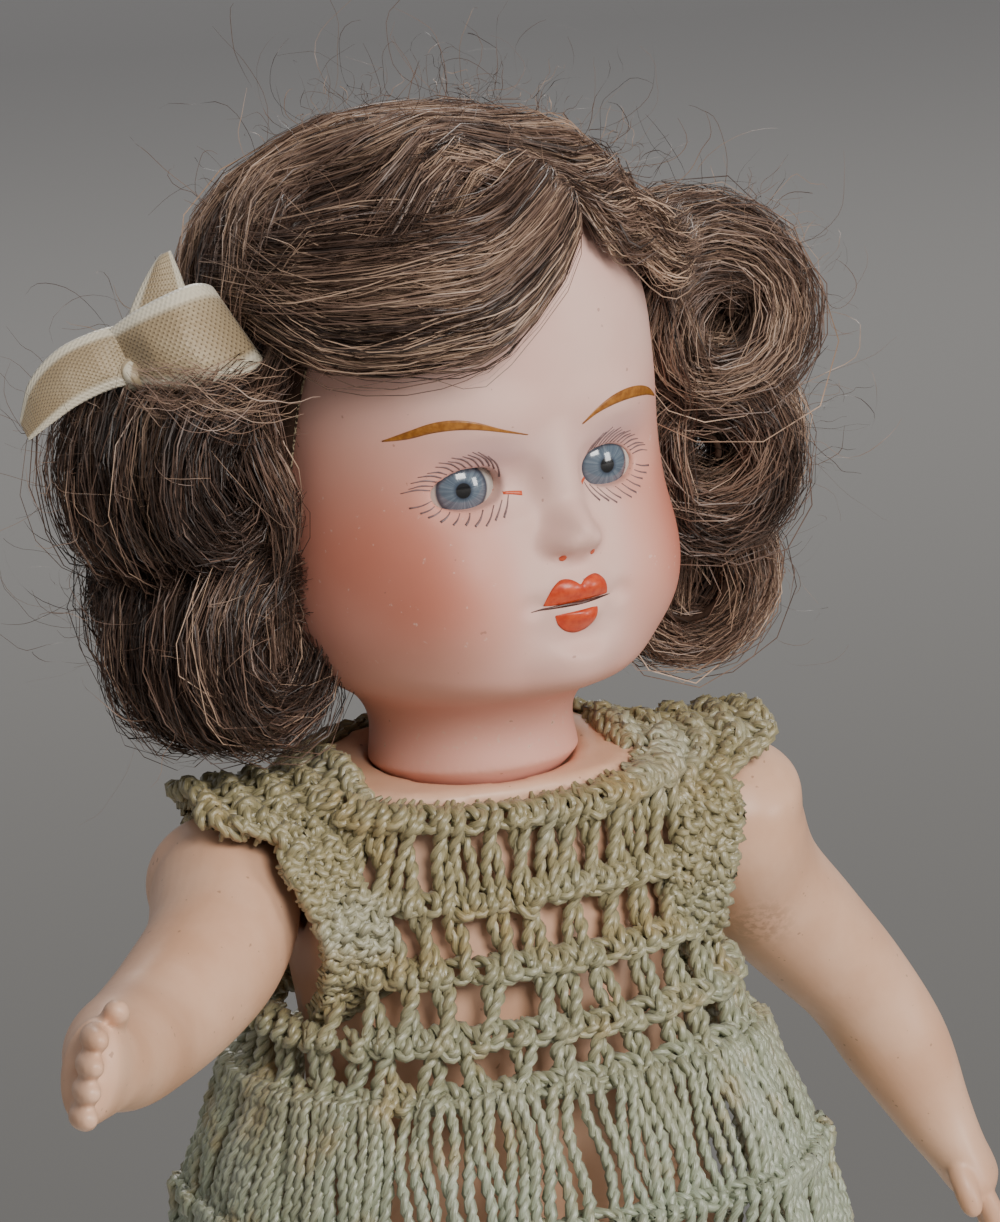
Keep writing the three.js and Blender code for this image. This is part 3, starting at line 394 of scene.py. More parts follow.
head_rows = np.array([
    [0, NECK, NECK, NECK],
    [0.45 * CHIN, 0.97 * NECK, 0.98 * NECK, 0.97 * NECK],
    [0.76 * CHIN, 1.1 * NECK, 1.22 * NECK, 1.04 * NECK],
    [level(0), 0.73 * HALF, 0.92 * FACE, 0.6 * SKULL],
    [level(0.05), 0.86 * HALF, 1.01 * FACE, 0.69 * SKULL],
    [level(0.13), 0.97 * HALF, 1.04 * FACE, 0.81 * SKULL],
    [level(0.24), HALF, 1.02 * FACE, 0.92 * SKULL],
    [level(0.4), 0.98 * HALF, 0.96 * FACE, 0.99 * SKULL],
    [level(0.55), 0.97 * HALF, 0.98 * FACE, SKULL],
    [level(0.7), 0.93 * HALF, 0.96 * FACE, 0.97 * SKULL],
    [level(0.83), 0.8 * HALF, 0.85 * FACE, 0.84 * SKULL],
    [level(0.93), 0.55 * HALF, 0.58 * FACE, 0.58 * SKULL],
    [level(0.98), 0.31 * HALF, 0.33 * FACE, 0.33 * SKULL],
    [level(1), 0, 0, 0],
])


def through(rows, place):
    """All values of a smooth curve through rows of [place, value, ...], at many places."""
    rows, place = np.asarray(rows, float), np.asarray(place, float)
    i = np.clip(np.searchsorted(rows[:, 0], place) - 1, 0, len(rows) - 2)
    here, after = rows[i], rows[i + 1]
    before, beyond = rows[np.maximum(i - 1, 0)], rows[np.minimum(i + 2, len(rows) - 1)]
    span = (after[..., 0] - here[..., 0])[..., None]
    t = np.clip((place - here[..., 0])[..., None] / span, 0, 1)
    leave = (after - before)[..., 1:] / (after - before)[..., :1] * span
    arrive = (beyond - here)[..., 1:] / (beyond - here)[..., :1] * span
    rise = (after - here)[..., 1:]
    bend = 3 * rise - 2 * leave - arrive + t * (leave + arrive - 2 * rise)
    return here[..., 1:] + t * (leave + t * bend)


def round_level(angle, sizes, power):
    """Points of a rounded level: angle 0 in front, growing towards the doll's left."""
    side, ahead = np.sin(angle), np.cos(angle)
    depth = np.where(ahead > 0, -sizes[..., 1], sizes[..., 2])
    return np.stack([sizes[..., 0] * np.sign(side) * np.abs(side) ** (2 / power),
                     depth * np.abs(ahead) ** (2 / power)], -1)


def head_power(z):
    return 2 + 0.3 * smoothstep(0.5 * CHIN, level(0.15), z)


def head_skin(angle, z):
    """The bare head at an angle and a height, before the face is modelled."""
    angle, z = np.broadcast_arrays(np.asarray(angle, float), np.asarray(z, float))
    flat = round_level(angle, through(head_rows, z), head_power(z))
    return np.concatenate([flat, z[..., None]], -1)


print("face is", 2 * HALF, "mm wide and", TALL, "mm tall")

# %% Touches of the modelling tool
touches = [
    ("bridge", 0, NOSE_UP + 4.2, 3.0, 6.4, 1.3, 0),
    ("nose tip", 0, NOSE_UP + 0.1, 3.2, 3.4, 3.1, 0),
    ("nose wings", 2.0, NOSE_UP - 0.7, 1.9, 1.8, 1.2, 0.1),
    ("nostrils", 1.45, NOSE_UP - 1.9, 0.75, 0.55, -0.5, 0),
    ("sockets", EYE_SPREAD, EYE_UP + 0.3, 6.0, 4.9, -1.5, 0),
    ("upper lids", EYE_SPREAD, EYE_UP + 3.0, 4.6, 1.5, 0.28, 0),
    ("lower lids", EYE_SPREAD, EYE_UP - 2.9, 4.4, 1.4, 0.3, 0),
    ("inner corners", 3.5, EYE_UP + 0.2, 2.3, 3.2, -0.6, 0),
    ("brows", EYE_SPREAD, EYE_UP + 6.4, 8, 3.8, 0.5, 0),
    ("cheeks", 10.4, MOUTH_UP + 1.6, 8, 8, 1.5, 0.5),
    ("mouth mound", 0, MOUTH_UP + 0.6, 6.4, 5.0, 1.1, 0),
    ("mouth corners", 4.4, MOUTH_UP - 0.2, 1.7, 1.5, -0.5, 0),
    ("channel", 0, MOUTH_UP + 3.2, 1.0, 1.7, -0.28, 0),
    ("upper lip", 1.25, MOUTH_UP + 1.15, 2.5, 1.35, 0.62, 0),
    ("lower lip", 0, MOUTH_UP - 1.6, 2.7, 1.35, 0.8, 0),
    ("below the lip", 0, MOUTH_UP - 3.9, 3.6, 1.7, -0.6, 0),
    ("chin", 0, CHIN + 2.6, 5.6, 4.4, 1.4, 0),
]


def modelled(points):
    """The face pushed out of the bare head, and the small ears at its sides."""
    points = np.array(points, float)
    x, y, z = points[..., 0].copy(), points[..., 1].copy(), points[..., 2]
    ahead = np.where(y < 0, 1.0, 0.0)
    for _, across, high, wide, tall, push, spread in touches:
        near = 1 - ((np.abs(x) - across) / wide) ** 2 - ((z - high) / tall) ** 2
        near = np.clip(near, 0, None) ** 2 * ahead
        points[..., 1] -= near * push
        points[..., 0] += near * spread * np.sign(x)
    parted = np.exp(-((z - MOUTH_UP + 0.12 + 0.012 * x * x) / 0.2) ** 2)
    parted = parted * np.clip(1 - (np.abs(x) / 4.2) ** 4, 0, None)
    points[..., 1] += 0.55 * parted * ahead
    behind, high = (y - 1.5) / 3.4, (z - EYE_UP + 2) / 5.6
    rim = np.clip(1 - behind**2 - high**2, 0, None)
    points[..., 0] += np.sign(x) * (2 * rim**2 - 1.1 * np.clip(rim - 0.45, 0, None))
    return points


print("modelled at", len(touches), "places")

# %% Draw the sphere out to the head
RINGS, ROUND = 250, 250
head = sphere("head_skin", ROUND, RINGS)
raw = places(head)
turn = np.arctan2(raw[:, 0], -raw[:, 1])
turn = turn - 0.45 * np.sin(turn)
share = np.degrees(np.arcsin(np.clip(raw[:, 2], -1, 1))) / 180 + 0.5
bottom, crown = BALL_RISE - BALL, level(1)
heights = np.interp(share, [0, 0.08, 0.14, 0.76, 1], [bottom + 0.01, 0, 0.75 * CHIN, EYE_UP + 8, crown])
drawn = modelled(head_skin(turn, np.clip(heights, 0, crown)))
ball = np.sqrt(np.clip(BALL**2 - (BALL_RISE - heights) ** 2, 0, None))
dome = np.stack([ball * np.sin(turn), -ball * np.cos(turn), heights], -1)
drawn = np.where((heights < 0)[:, None], dome, drawn)
move_points(head, in_scene(drawn))
print("head drawn from", len(raw), "points")

# %% Eye holes
def face_depth(x, z):
    """How far forward the skin lies at one place of the face."""
    x, z = np.broadcast_arrays(np.asarray(x, float), np.asarray(z, float))
    sizes, power = through(head_rows, z), head_power(z)
    y = -sizes[..., 1] * np.clip(1 - (np.abs(x) / sizes[..., 0]) ** power, 0, None) ** (1 / power)
    return modelled(np.stack([x, y, z], -1))[..., 1]


EYE_RADIUS, EYE_BACK = 4.8, 0.3
EYE_WIDE, EYE_HIGH = 6.5, 3.7
eye_holes, eye_centres = {}, {}
for side, across, tilt in (("left", EYE_SPREAD - 0.65, -0.2), ("right", -EYE_SPREAD - 1.0, 1)):
    slope = tilt * (face_depth(across + 2.6, EYE_UP) - face_depth(across - 2.6, EYE_UP)) / 5.2
    inward = np.array([-slope, 1, 0]) / math.hypot(slope, 1)
    eye_holes[side] = np.array([across, face_depth(across, EYE_UP) + EYE_BACK, EYE_UP])
    eye_centres[side] = eye_holes[side] + EYE_RADIUS * inward


def almond(count):
    """Outline of the cut eye, x towards the outer corner; the outer corner lies a little lower."""
    t = np.linspace(0, 2 * np.pi, count, endpoint=False)
    x, lift = np.cos(t), np.sin(t)
    tall = np.where(lift > 0, 0.53, 0.47) * EYE_HIGH * np.abs(lift) * (1 - 0.1 * x)
    wide = 0.5 * EYE_WIDE * np.sign(x) * np.abs(x) ** 0.94
    return np.stack([wide, np.sign(lift) * tall - 0.22 * x], -1)


def cutter(side, count=48):
    """An almond shaped tool through the face, wider in front than inside."""
    wide, tall = almond(count).T
    sign = 1 if side == "left" else -1
    cx, _, cz = eye_holes[side]
    rings = [np.stack([cx + sign * grow * wide, np.full(count, depth), cz + grow * tall], -1)
             for depth, grow in ((-24, 1.12), (-16.6, 1.02), (-15.6, 0.99), (-12.5, 0.97))]
    faces = grid_faces(len(rings), count, closed=True)
    return close_ends(mesh_piece(f"cutter_{side}", in_scene(np.concatenate(rings)), faces))


for side in ("left", "right"):
    tool = cutter(side)
    use(head, "BOOLEAN", object=tool, operation="DIFFERENCE", solver="EXACT")
    bpy.data.objects.remove(tool)
SKIN_VOXEL = 0.27 * MM
use(head, "REMESH", mode="VOXEL", voxel_size=SKIN_VOXEL)
use(head, "SMOOTH", factor=0.5, iterations=4)
use(head, "DECIMATE", ratio=0.5)
bpy.ops.object.shade_smooth()
print("head skin has", len(head.data.polygons), "faces")

# %% [markdown]
# The colour of bisque is fired in: a pale flesh tone all through, a warm blush rubbed over the
# cheeks, the chin and the sides of the neck, and nothing on the nose and round the mouth.  The
# same warm colour, laid on both temples, is painted shade where the face turns away, and a mauve
# grey over the upper lids is painted shade under the brows.  How strong the blush and this painted
# shade are goes with each point of the skin, and the shader breaks it up with noise, adds fine
# specks and lets the surface keep the soft shine of handled bisque.

# %% Blush for each point of the head
def spot(x, z, across, up, wide, tall):
    return np.exp(-((np.abs(x) - across) / wide) ** 2 - ((z - up) / tall) ** 2)


skin = on_head(places(head))
x, y, z = skin.T
front = smoothstep(4, -4, y)
blush = 0.72 * spot(x, z, 12.2, MOUTH_UP + 2.2, 8.6, 10.4) * front
# In the next line the temple term (16 mm across) is painted shade in the blush colour, where the sides of
# the face turn away from the light; the chin term is blush.
blush += 0.42 * spot(x, z, 16, EYE_UP - 3, 6, 12) + 0.3 * spot(x, z, 0, CHIN - 0.5, 9, 3.2) * front
blush += 0.26 * spot(x, z, 0, level(0.92), 18, 7) + 0.42 * smoothstep(CHIN + 2.5, CHIN - 3, z)
blush -= 0.5 * spot(x, z, 0, MOUTH_UP + 4, 5.4, 7.5) * front
# Painted shade: a mauve grey over the upper lids, under the brows.
lids = spot(x, z, EYE_SPREAD - 0.6, EYE_UP + 3.0, 4.4, 2.0) * front
scuff = spot(x, z, 0, 2.4, 30, 1.6)
keep(head, blush=np.clip(blush, 0, 1.2), lids=lids, scuff=scuff)

bisque = Finish("bisque", Specular_IOR_Level=0.42)
mottle = bisque.noise(420, 4)
cloud = bisque.noise(90, 3)
# This strength carries the blush and the painted shade at the temples.
strength = bisque.kept("blush") * (0.82 + cloud * 0.36)
flesh = bisque.mixed(bisque.between(cloud, 0.35, 0.7), tint(226, 182, 168), tint(231, 191, 178))
flesh = bisque.mixed(bisque.between(strength, 0.04, 0.5), flesh, tint(223, 164, 147))
flesh = bisque.mixed(bisque.between(strength, 0.35, 1.1), flesh, tint(202, 122, 100))
# Painted shade under the brows: the lids mark mixes in mauve grey.
flesh = bisque.mixed(bisque.kept("lids") * 0.42, flesh, tint(168, 134, 142))
worn = bisque.between(bisque.noise(1500, 2), 0.6, 0.72) * bisque.kept("scuff")
flesh = bisque.mixed(worn * 0.75, flesh, tint(214, 182, 160))
speck = bisque.between(bisque.noise(1500, 1), 0.775, 0.8)
flesh = bisque.mixed(speck * 0.45, flesh, tint(140, 86, 66))
rub = bisque.between(bisque.noise(1300, 4), 0.67, 0.73) * bisque.between(strength, 0.35, 0.7)
flesh = bisque.mixed(rub * 0.5, flesh, tint(232, 205, 192))
bisque.give(Base_Color=flesh, Roughness=0.46 + mottle * 0.12)
bisque.bump(mottle, 0.00003, 0.4)
dress_up(head, bisque, "head", "bisque", "bisque_head")
print("blush up to", round(float(blush.max()), 2))

# %% [markdown]
# ## Glass eyes
#
# Set eyes are blown glass: a white ball with a threaded blue grey iris and a black pupil under a
# clear front.  The ball sits just behind the cut opening, so the lids throw a thin shadow on it.
# The shader measures how far a point lies from the line of sight and colours rings from that; a
# coat gives the clear front its sharp glint.

# %% Eyes
def glass(side, look):
    finish = Finish(f"glass_{side}", Specular_IOR_Level=0.5, Coat_Weight=1.0, Coat_Roughness=0.02)
    centre = in_scene(eye_centres[side])
    sight = in_scene(np.array(look) / np.linalg.norm(look)) - in_scene([0, 0, 0])
    sight = sight / np.linalg.norm(sight)
    away = finish.vector("SUBTRACT", finish.place(), tuple(centre))
    crossed = finish.vector("CROSS_PRODUCT", away, tuple(sight))
    reach = finish.vector("LENGTH", crossed, out="Value") * 1000
    threads = finish.noise(9, 4, finish.vector("NORMALIZE", crossed), 0.7)
    iris = finish.mixed(finish.between(threads, 0.35, 0.7), tint(78, 92, 107), tint(110, 124, 136))
    iris = finish.mixed(finish.between(reach, 1.1, 0.65), iris, tint(54, 66, 82))
    iris = finish.mixed(finish.between(reach, 1.9, 2.3), iris, tint(56, 66, 80))
    ball = finish.mixed(finish.between(reach, 2.26, 2.5), iris, tint(200, 196, 188))
    ball = finish.mixed(finish.between(reach, 0.74, 0.64), ball, (0.003, 0.003, 0.004))
    finish.give(Base_Color=ball, Roughness=0.12 + finish.noise(700) * 0.08)
    return finish


for side, aside in (("left", 0.1), ("right", -0.15)):
    look = eye_holes[side] + np.array([aside, 0, 0]) - eye_centres[side]
    eye = sphere(f"glass_eye_{side}", 64, 48, EYE_RADIUS * MM)
    eye.data.transform(Vector(look).to_track_quat("Z", "Y").to_matrix().to_4x4())
    ball = places(eye)
    forward = ball @ (np.array(look) / np.linalg.norm(look)) / (EYE_RADIUS * MM)
    ball *= (1 + 0.035 * smoothstep(0.84, 1.0, forward))[:, None]
    move_points(eye, in_scene(ball / MM + eye_centres[side]))
    bpy.ops.object.shade_smooth()
    dress_up(eye, glass(side, look), "head", "glass", f"eye_{side}")
print("eyes set", round(2 * EYE_SPREAD, 1), "mm apart")

# %% [markdown]
# ## The painted face
#
# Brows, lashes, lips and the red dots at the nostrils and the inner corners of the eyes are china
# paint, fired on.  Each stroke is a very thin film here: it is drawn flat, as seen from in front,
# and laid on the skin by casting a ray back to the head for every point.

# %% Laying paint on the skin
skin_tree = BVHTree.FromPolygons([Vector(p) for p in places(head)],
                                 [tuple(face.vertices) for face in head.data.polygons])
straight_in = Vector(in_scene([0, 1, 0]) - in_scene([0, 0, 0])).normalized()


def on_skin(x, z, lift):
    """The place on the head straight behind x, z of the face, lifted off it in millimetres."""
    hit, normal, _, _ = skin_tree.ray_cast(Vector(in_scene([x, -40, z])), straight_in)
    return hit + normal * lift * MM


def resampled(line, count):
    line = np.asarray(line, float)
    run = np.concatenate([[0], np.cumsum(np.hypot(*np.diff(line, axis=0).T))])
    rows = np.column_stack([run, line])
    return through(rows, np.linspace(0, run[-1], count))


def film(lower, upper, along, across, lift=0.035):
    """Points and faces of paint between two lines of the face."""
    low, high = resampled(lower, along), resampled(upper, along)
    share = np.linspace(0, 1, across)[:, None, None]
    flat = low + (high - low) * share
    return [on_skin(px, pz, lift) for px, pz in flat.reshape(-1, 2)], grid_faces(across, along)


def stroke(path, widths, along=7, lift=0.03):
    """A brush stroke of changing width along a path of the face."""
    line = resampled(path, along)
    run = np.gradient(line, axis=0)
    side = np.column_stack([-run[:, 1], run[:, 0]]) / np.hypot(*run.T)[:, None]
    half = np.interp(np.linspace(0, 1, along), np.linspace(0, 1, len(widths)), widths)[:, None] / 2
    return film(line - side * half, line + side * half, along, 3, lift)


def painted(name, films, finish):
    """One thin closed piece of paint from several films."""
    points, faces = [], []
    for film_points, film_faces in films:
        faces.append(film_faces + len(points))
        points += film_points
    piece = mesh_piece(name, points, np.concatenate(faces))
    normals = np.array([face.normal for face in piece.data.polygons]).mean(0)
    if normals @ np.array(straight_in) > 0:
        piece.data.flip_normals()
    use(piece, "SOLIDIFY", thickness=0.04 * MM, offset=-1)
    return dress_up(piece, finish, "head", "bisque")


def china_paint(name, light, dark, shine=0.3):
    finish = Finish(name, Specular_IOR_Level=0.5)
    grain = finish.noise(1600, 3)
    colour = finish.mixed(finish.between(grain, 0.3, 0.7), dark, light)
    return finish.give(Base_Color=colour, Roughness=shine + grain * 0.15)


print("skin under the paint has", len(head.data.polygons), "faces")

# %% Brows and lashes
brows = {
    "right": ([(-14.4, 32.1), (-12.9, 32.3), (-11.3, 32.75), (-9.5, 32.9), (-7.6, 32.7), (-5.4, 32.2),
               (-3.2, 31.65)],
              [(-14.45, 32.2), (-12.9, 33.0), (-11.3, 33.65), (-9.7, 33.8), (-8.0, 33.45), (-5.8, 32.6),
               (-3.1, 31.7)]),
    "left": ([(2.6, 31.7), (4.1, 32.45), (5.9, 32.9), (7.9, 33.05), (10, 32.9), (11.8, 32.55),
              (13.8, 31.9)],
             [(2.55, 31.8), (4.1, 32.95), (5.9, 33.75), (7.9, 34.05), (10, 33.85), (11.9, 33.2),
              (13.85, 32.0)]),
}
# Rows of [number, root across, root up, reach across, reach up], from the middle of the eye.
lash_rows = np.array([
    [0, -3.1, 0.85, 1.9, 2.5], [1, -2.3, 1.55, 2.1, 2.0], [2, -1.2, 2.05, 2.0, 1.4],
    [3, -0.1, 2.15, 1.95, 1.05], [4, 0.9, 2.0, 1.95, 0.75], [5, 1.9, 1.65, 1.8, 0.4],
    [6, 2.7, 1.1, 1.95, 0.1], [7, 3.25, 0.45, 2.15, -0.1]])
under_rows = np.array([
    [0, 3.25, -0.45, 1.75, -0.5], [1, 2.8, -0.95, 1.5, -0.6], [2, 2.2, -1.45, 1.2, -0.6],
    [3, 1.25, -1.75, 1.05, -0.85], [4, 0.1, -1.85, 1.1, -1.0], [5, -1.5, -1.65, 1.4, -1.2],
    [6, -2.6, -1.2, 1.5, -1.7], [7, -3.5, -0.75, 1.2, -1.9]])
brow_films = [film(low, high, 40, 5) for low, high in brows.values()]
lash_films = []
for side, sign in (("left", 1), ("right", -1)):
    middle = eye_holes[side][[0, 2]]
    for rows, count, wide in ((lash_rows, 14, (0.1, 0.16, 0.05)), (under_rows, 10, (0.07, 0.13, 0.17))):
        for rx, rz, along, climb in through(rows, np.linspace(0, rows[-1, 0], count)):
            run = np.array([along, climb]) * rng.uniform(0.88, 1.08) + rng.normal(0, 0.07, 2)
            bow = np.array([-run[1], run[0]]) * (0.1 if climb > -0.2 else -0.05)
            path = np.array([rx, rz]) + np.array([0 * run, 0.5 * run + bow, run])
            lash_films.append(stroke(path * [sign, 1] + middle, np.array(wide) * rng.uniform(0.8, 1.1)))
painted("brow_paint", brow_films, china_paint("brow_brown", tint(171, 112, 44), tint(132, 78, 24)))
painted("lash_paint", lash_films, china_paint("lash_grey", tint(136, 110, 108), tint(98, 78, 80)))
print("lash strokes:", len(lash_films))

# %% Lips and red dots
upper_low = [(-3.5, 16.52), (-2.6, 16.5), (-1.4, 16.56), (-0.3, 16.64), (0.9, 16.68), (2, 16.7),
             (2.85, 16.72)]
upper_high = [(-3.55, 16.6), (-3.3, 17.4), (-2.85, 18.15), (-2.1, 18.7), (-1.4, 18.72), (-0.8, 18.45),
              (-0.4, 18.16), (0.2, 18.5), (0.9, 18.74), (1.6, 18.74), (2.2, 18.3), (2.65, 17.6), (2.9, 16.8)]
lower_high = [(-2.65, 15.6), (-1.8, 15.72), (-0.6, 15.86), (0.5, 15.92), (1.35, 15.85)]
lower_low = [(-2.7, 15.5), (-2.4, 14.7), (-1.7, 14.05), (-0.65, 13.75), (0.4, 14.0), (1.1, 14.8),
             (1.4, 15.75)]
slit = [(-4.7, 16.12), (-3.6, 16.26), (-2, 16.38), (-0.4, 16.46), (1.2, 16.52), (2.6, 16.55), (3.4, 16.5)]


def dot(x, z, wide, tall):
    turn = np.linspace(np.pi, 0, 9)
    low = np.column_stack([x + wide * np.cos(turn), z - tall * np.sin(turn)])
    return film(low, low * [1, -1] + [0, 2 * z], 9, 5)


lip_red = china_paint("lip_red", tint(214, 84, 44), tint(192, 58, 28), 0.24)
painted("lip_paint", [film(upper_low, upper_high, 44, 9), film(lower_low, lower_high, 32, 8)], lip_red)
painted("mouth_line", [stroke(slit, [0.05, 0.2, 0.3, 0.34, 0.3, 0.2, 0.05], 30)],
        china_paint("mouth_shadow", tint(92, 44, 30), tint(58, 26, 20)))
dots = [dot(1.75, NOSE_UP - 2.0, 0.27, 0.25), dot(-1.45, NOSE_UP - 2.05, 0.3, 0.27)]
dots.append(stroke([(-5.3, 26.55), (-4.4, 26.5), (-3.4, 26.35)], [0.22, 0.3, 0.4]))
dots.append(stroke([(3.4, 26.7), (2.8, 26.55), (2.3, 26.45)], [0.2, 0.26, 0.3]))
painted("dot_paint", dots, china_paint("dot_red", tint(216, 96, 56), tint(196, 70, 36)))
print("mouth is", upper_low[-1][0] - upper_low[0][0], "mm wide")

# %% [markdown]
# ## The mohair wig
#
# A wig of this kind is sewn from wefts of mohair on a gauze cap, parted, combed to both sides and
# set in rolled curls.  A strand is modelled as a thin flat fibre, turned its own way, because
# thousands of them together catch the light as hair does.  Each one belongs to a clump, and the
# clump gives it a shared wave, so that the hair falls in locks and not like straw.

# %% Places over the scalp
HEAD_TOP = level(1)
skull = np.array([0, 0, level(0.48)])
CAP_LIFT = 1.58
hairline_rows = np.array([[0, 0.87], [0.15, 0.83], [0.3, 0.75], [0.41, 0.64], [0.46, 0.44], [0.5, 0.22],
                          [0.6, 0.12], [0.8, 0.05], [1, 0.05]])


def way(degrees, share):
    """The direction from the middle of the skull to the scalp at an angle and a height."""
    return unit(head_skin(np.radians(degrees), level(share)) - skull)


def ways_at(*scalp_places):
    return np.array([way(*place) for place in scalp_places])


def over(ways, lift):
    """Places a lift above the skull along unit ways, found by halving the doubt."""
    near, far = np.zeros(ways.shape[:-1]), np.full(ways.shape[:-1], 40.0)
    for _ in range(16):
        middle = (near + far) / 2
        place = skull + ways * middle[..., None]
        sizes = through(head_rows, np.clip(place[..., 2], 0, HEAD_TOP)) + 1e-6
        depth = np.where(place[..., 1] < 0, sizes[..., 1], sizes[..., 2])
        power = head_power(place[..., 2])
        across, ahead = np.abs(place[..., 0]) / sizes[..., 0], np.abs(place[..., 1]) / depth
        inside = (across**power + ahead**power < 1) & (place[..., 2] < HEAD_TOP)
        near, far = np.where(inside, middle, near), np.where(inside, far, middle)
    return skull + ways * (near + lift)[..., None]


def over_scalp(angle, share, lift):
    """A place over the scalp: angle round the head, share of the way from hairline to crown."""
    folded = np.abs((angle + np.pi) % (2 * np.pi) - np.pi) / np.pi
    low = level(through(hairline_rows, folded)[..., 0])
    z = low + (HEAD_TOP - 0.15 - low) * (0.5 * share + 0.5 * np.sin(share * np.pi / 2))
    skin_place = head_skin(angle, np.clip(z, 0, HEAD_TOP - 0.02))
    return skin_place + unit(skin_place - skull) * np.asarray(lift)[..., None]


print("hairline in front at", round(float(level(0.87)), 1), "mm")

# %% A strand for every path
def strands(name, paths, half_wide, tone):
    """Flat fibres along paths of equal count in head millimetres, finer to both ends."""
    count, steps = paths.shape[:2]
    side = unit(np.cross(np.gradient(paths, axis=1), rng.normal(size=(count, 1, 3))))
    along = np.linspace(0, 1, steps)
    taper = 0.3 + 0.7 * np.clip(np.sin(np.pi * (0.06 + 0.9 * along)) * 1.6, 0, 1)
    wide = np.asarray(half_wide)[:, None] * taper
    edge = side * wide[..., None]
    points = np.stack([paths - edge, paths + edge], 2)
    first = (np.arange(count)[:, None] * steps + np.arange(steps - 1)) * 2
    faces = np.stack([first, first + 1, first + 3, first + 2], -1).reshape(-1, 4)
    tones = np.broadcast_to(np.asarray(tone)[:, None, None], (count, steps, 2))
    return mesh_piece(name, in_scene(points.reshape(-1, 3)), faces, tone=tones)


def clumped(count, clumps):
    """Clump number, place beside the clump's middle and tone for each strand."""
    of = rng.integers(0, clumps, count)
    beside = rng.normal(size=(count, 2)) * 0.5
    tone = np.clip(rng.normal(0.45, 0.24, clumps)[of] + rng.normal(0, 0.12, count), 0, 1)
    return of, beside, tone


def frizz(paths, size):
    """Each strand strays a little on its own, more to its tip."""
    count, steps = paths.shape[:2]
    t = np.linspace(0, 1, steps)[None, :, None]
    for turns in (1.3, 3.1):
        phase = rng.uniform(size=(count, 1, 3))
        sway = np.sin(2 * np.pi * (turns * t + phase)) * (0.3 + 0.7 * t)
        paths = paths + size / turns * rng.normal(size=(count, 1, 3)) * sway
    return paths


mohair = Finish("mohair", Specular_IOR_Level=0.45)
tone = mohair.kept("tone") + (mohair.noise(220, 3) - 0.5) * 0.6
fibre = mohair.mixed(mohair.between(tone, 0.05, 0.6), tint(46, 34, 28), tint(114, 89, 76))
fibre = mohair.mixed(mohair.between(tone, 0.5, 1.05), fibre, tint(190, 160, 136))
mohair.give(Base_Color=fibre, Roughness=0.34 + mohair.noise(300) * 0.16)
# Painted shade: the layer under the crown and the cores of the curls stand for hair lying deep inside,
# coloured near black for the shade there.
shaded_underhair = Finish("underhair_painted_shade", Specular_IOR_Level=0.08)
underhair_grain = shaded_underhair.noise(900, 4)
shaded_underhair.grained(underhair_grain, tint(36, 26, 21), tint(72, 54, 44), 0.85, 0.1, 0.0004, 0.8)
print("two finishes for the hair:", mohair.material.name, shaded_underhair.material.name)

# %% [markdown]
# ### Crown
#
# The parting runs from the front hairline over the crown, a little to the doll's left.  Strands
# leave it to both sides, along the shortest way over the skull to where they end: at the bow, in
# the curls or at the nape.  Beneath lie the gauze cap and a dark layer for the hair below, coloured
# as painted shade, so that no skin shows between strands.

# %% Crown strands
parting = ways_at((14, 0.865), (14, 0.93), (14, 0.985), (-166, 0.96), (-166, 0.86))
ends_right = ways_at((-80, 0.72), (-86, 0.66), (-104, 0.48), (-140, 0.22), (-178, 0.1))
ends_left = ways_at((46, 0.72), (60, 0.64), (98, 0.46), (140, 0.22), (178, 0.1))
fall_right = ways_at((-78, 0.72), (-90, 0.7), (-112, 0.66)), ways_at((-84, 0.16), (-94, 0.08), (-116, 0.06))
fall_left = ways_at((56, 0.74), (76, 0.7), (108, 0.66)), ways_at((78, 0.14), (92, 0.08), (114, 0.06))


def along_rows(rows, place):
    """Unit ways between evenly spaced rows of ways."""
    even = np.linspace(0, 1, len(rows))
    return unit(np.stack([np.interp(place, even, rows[:, k]) for k in range(3)], -1))


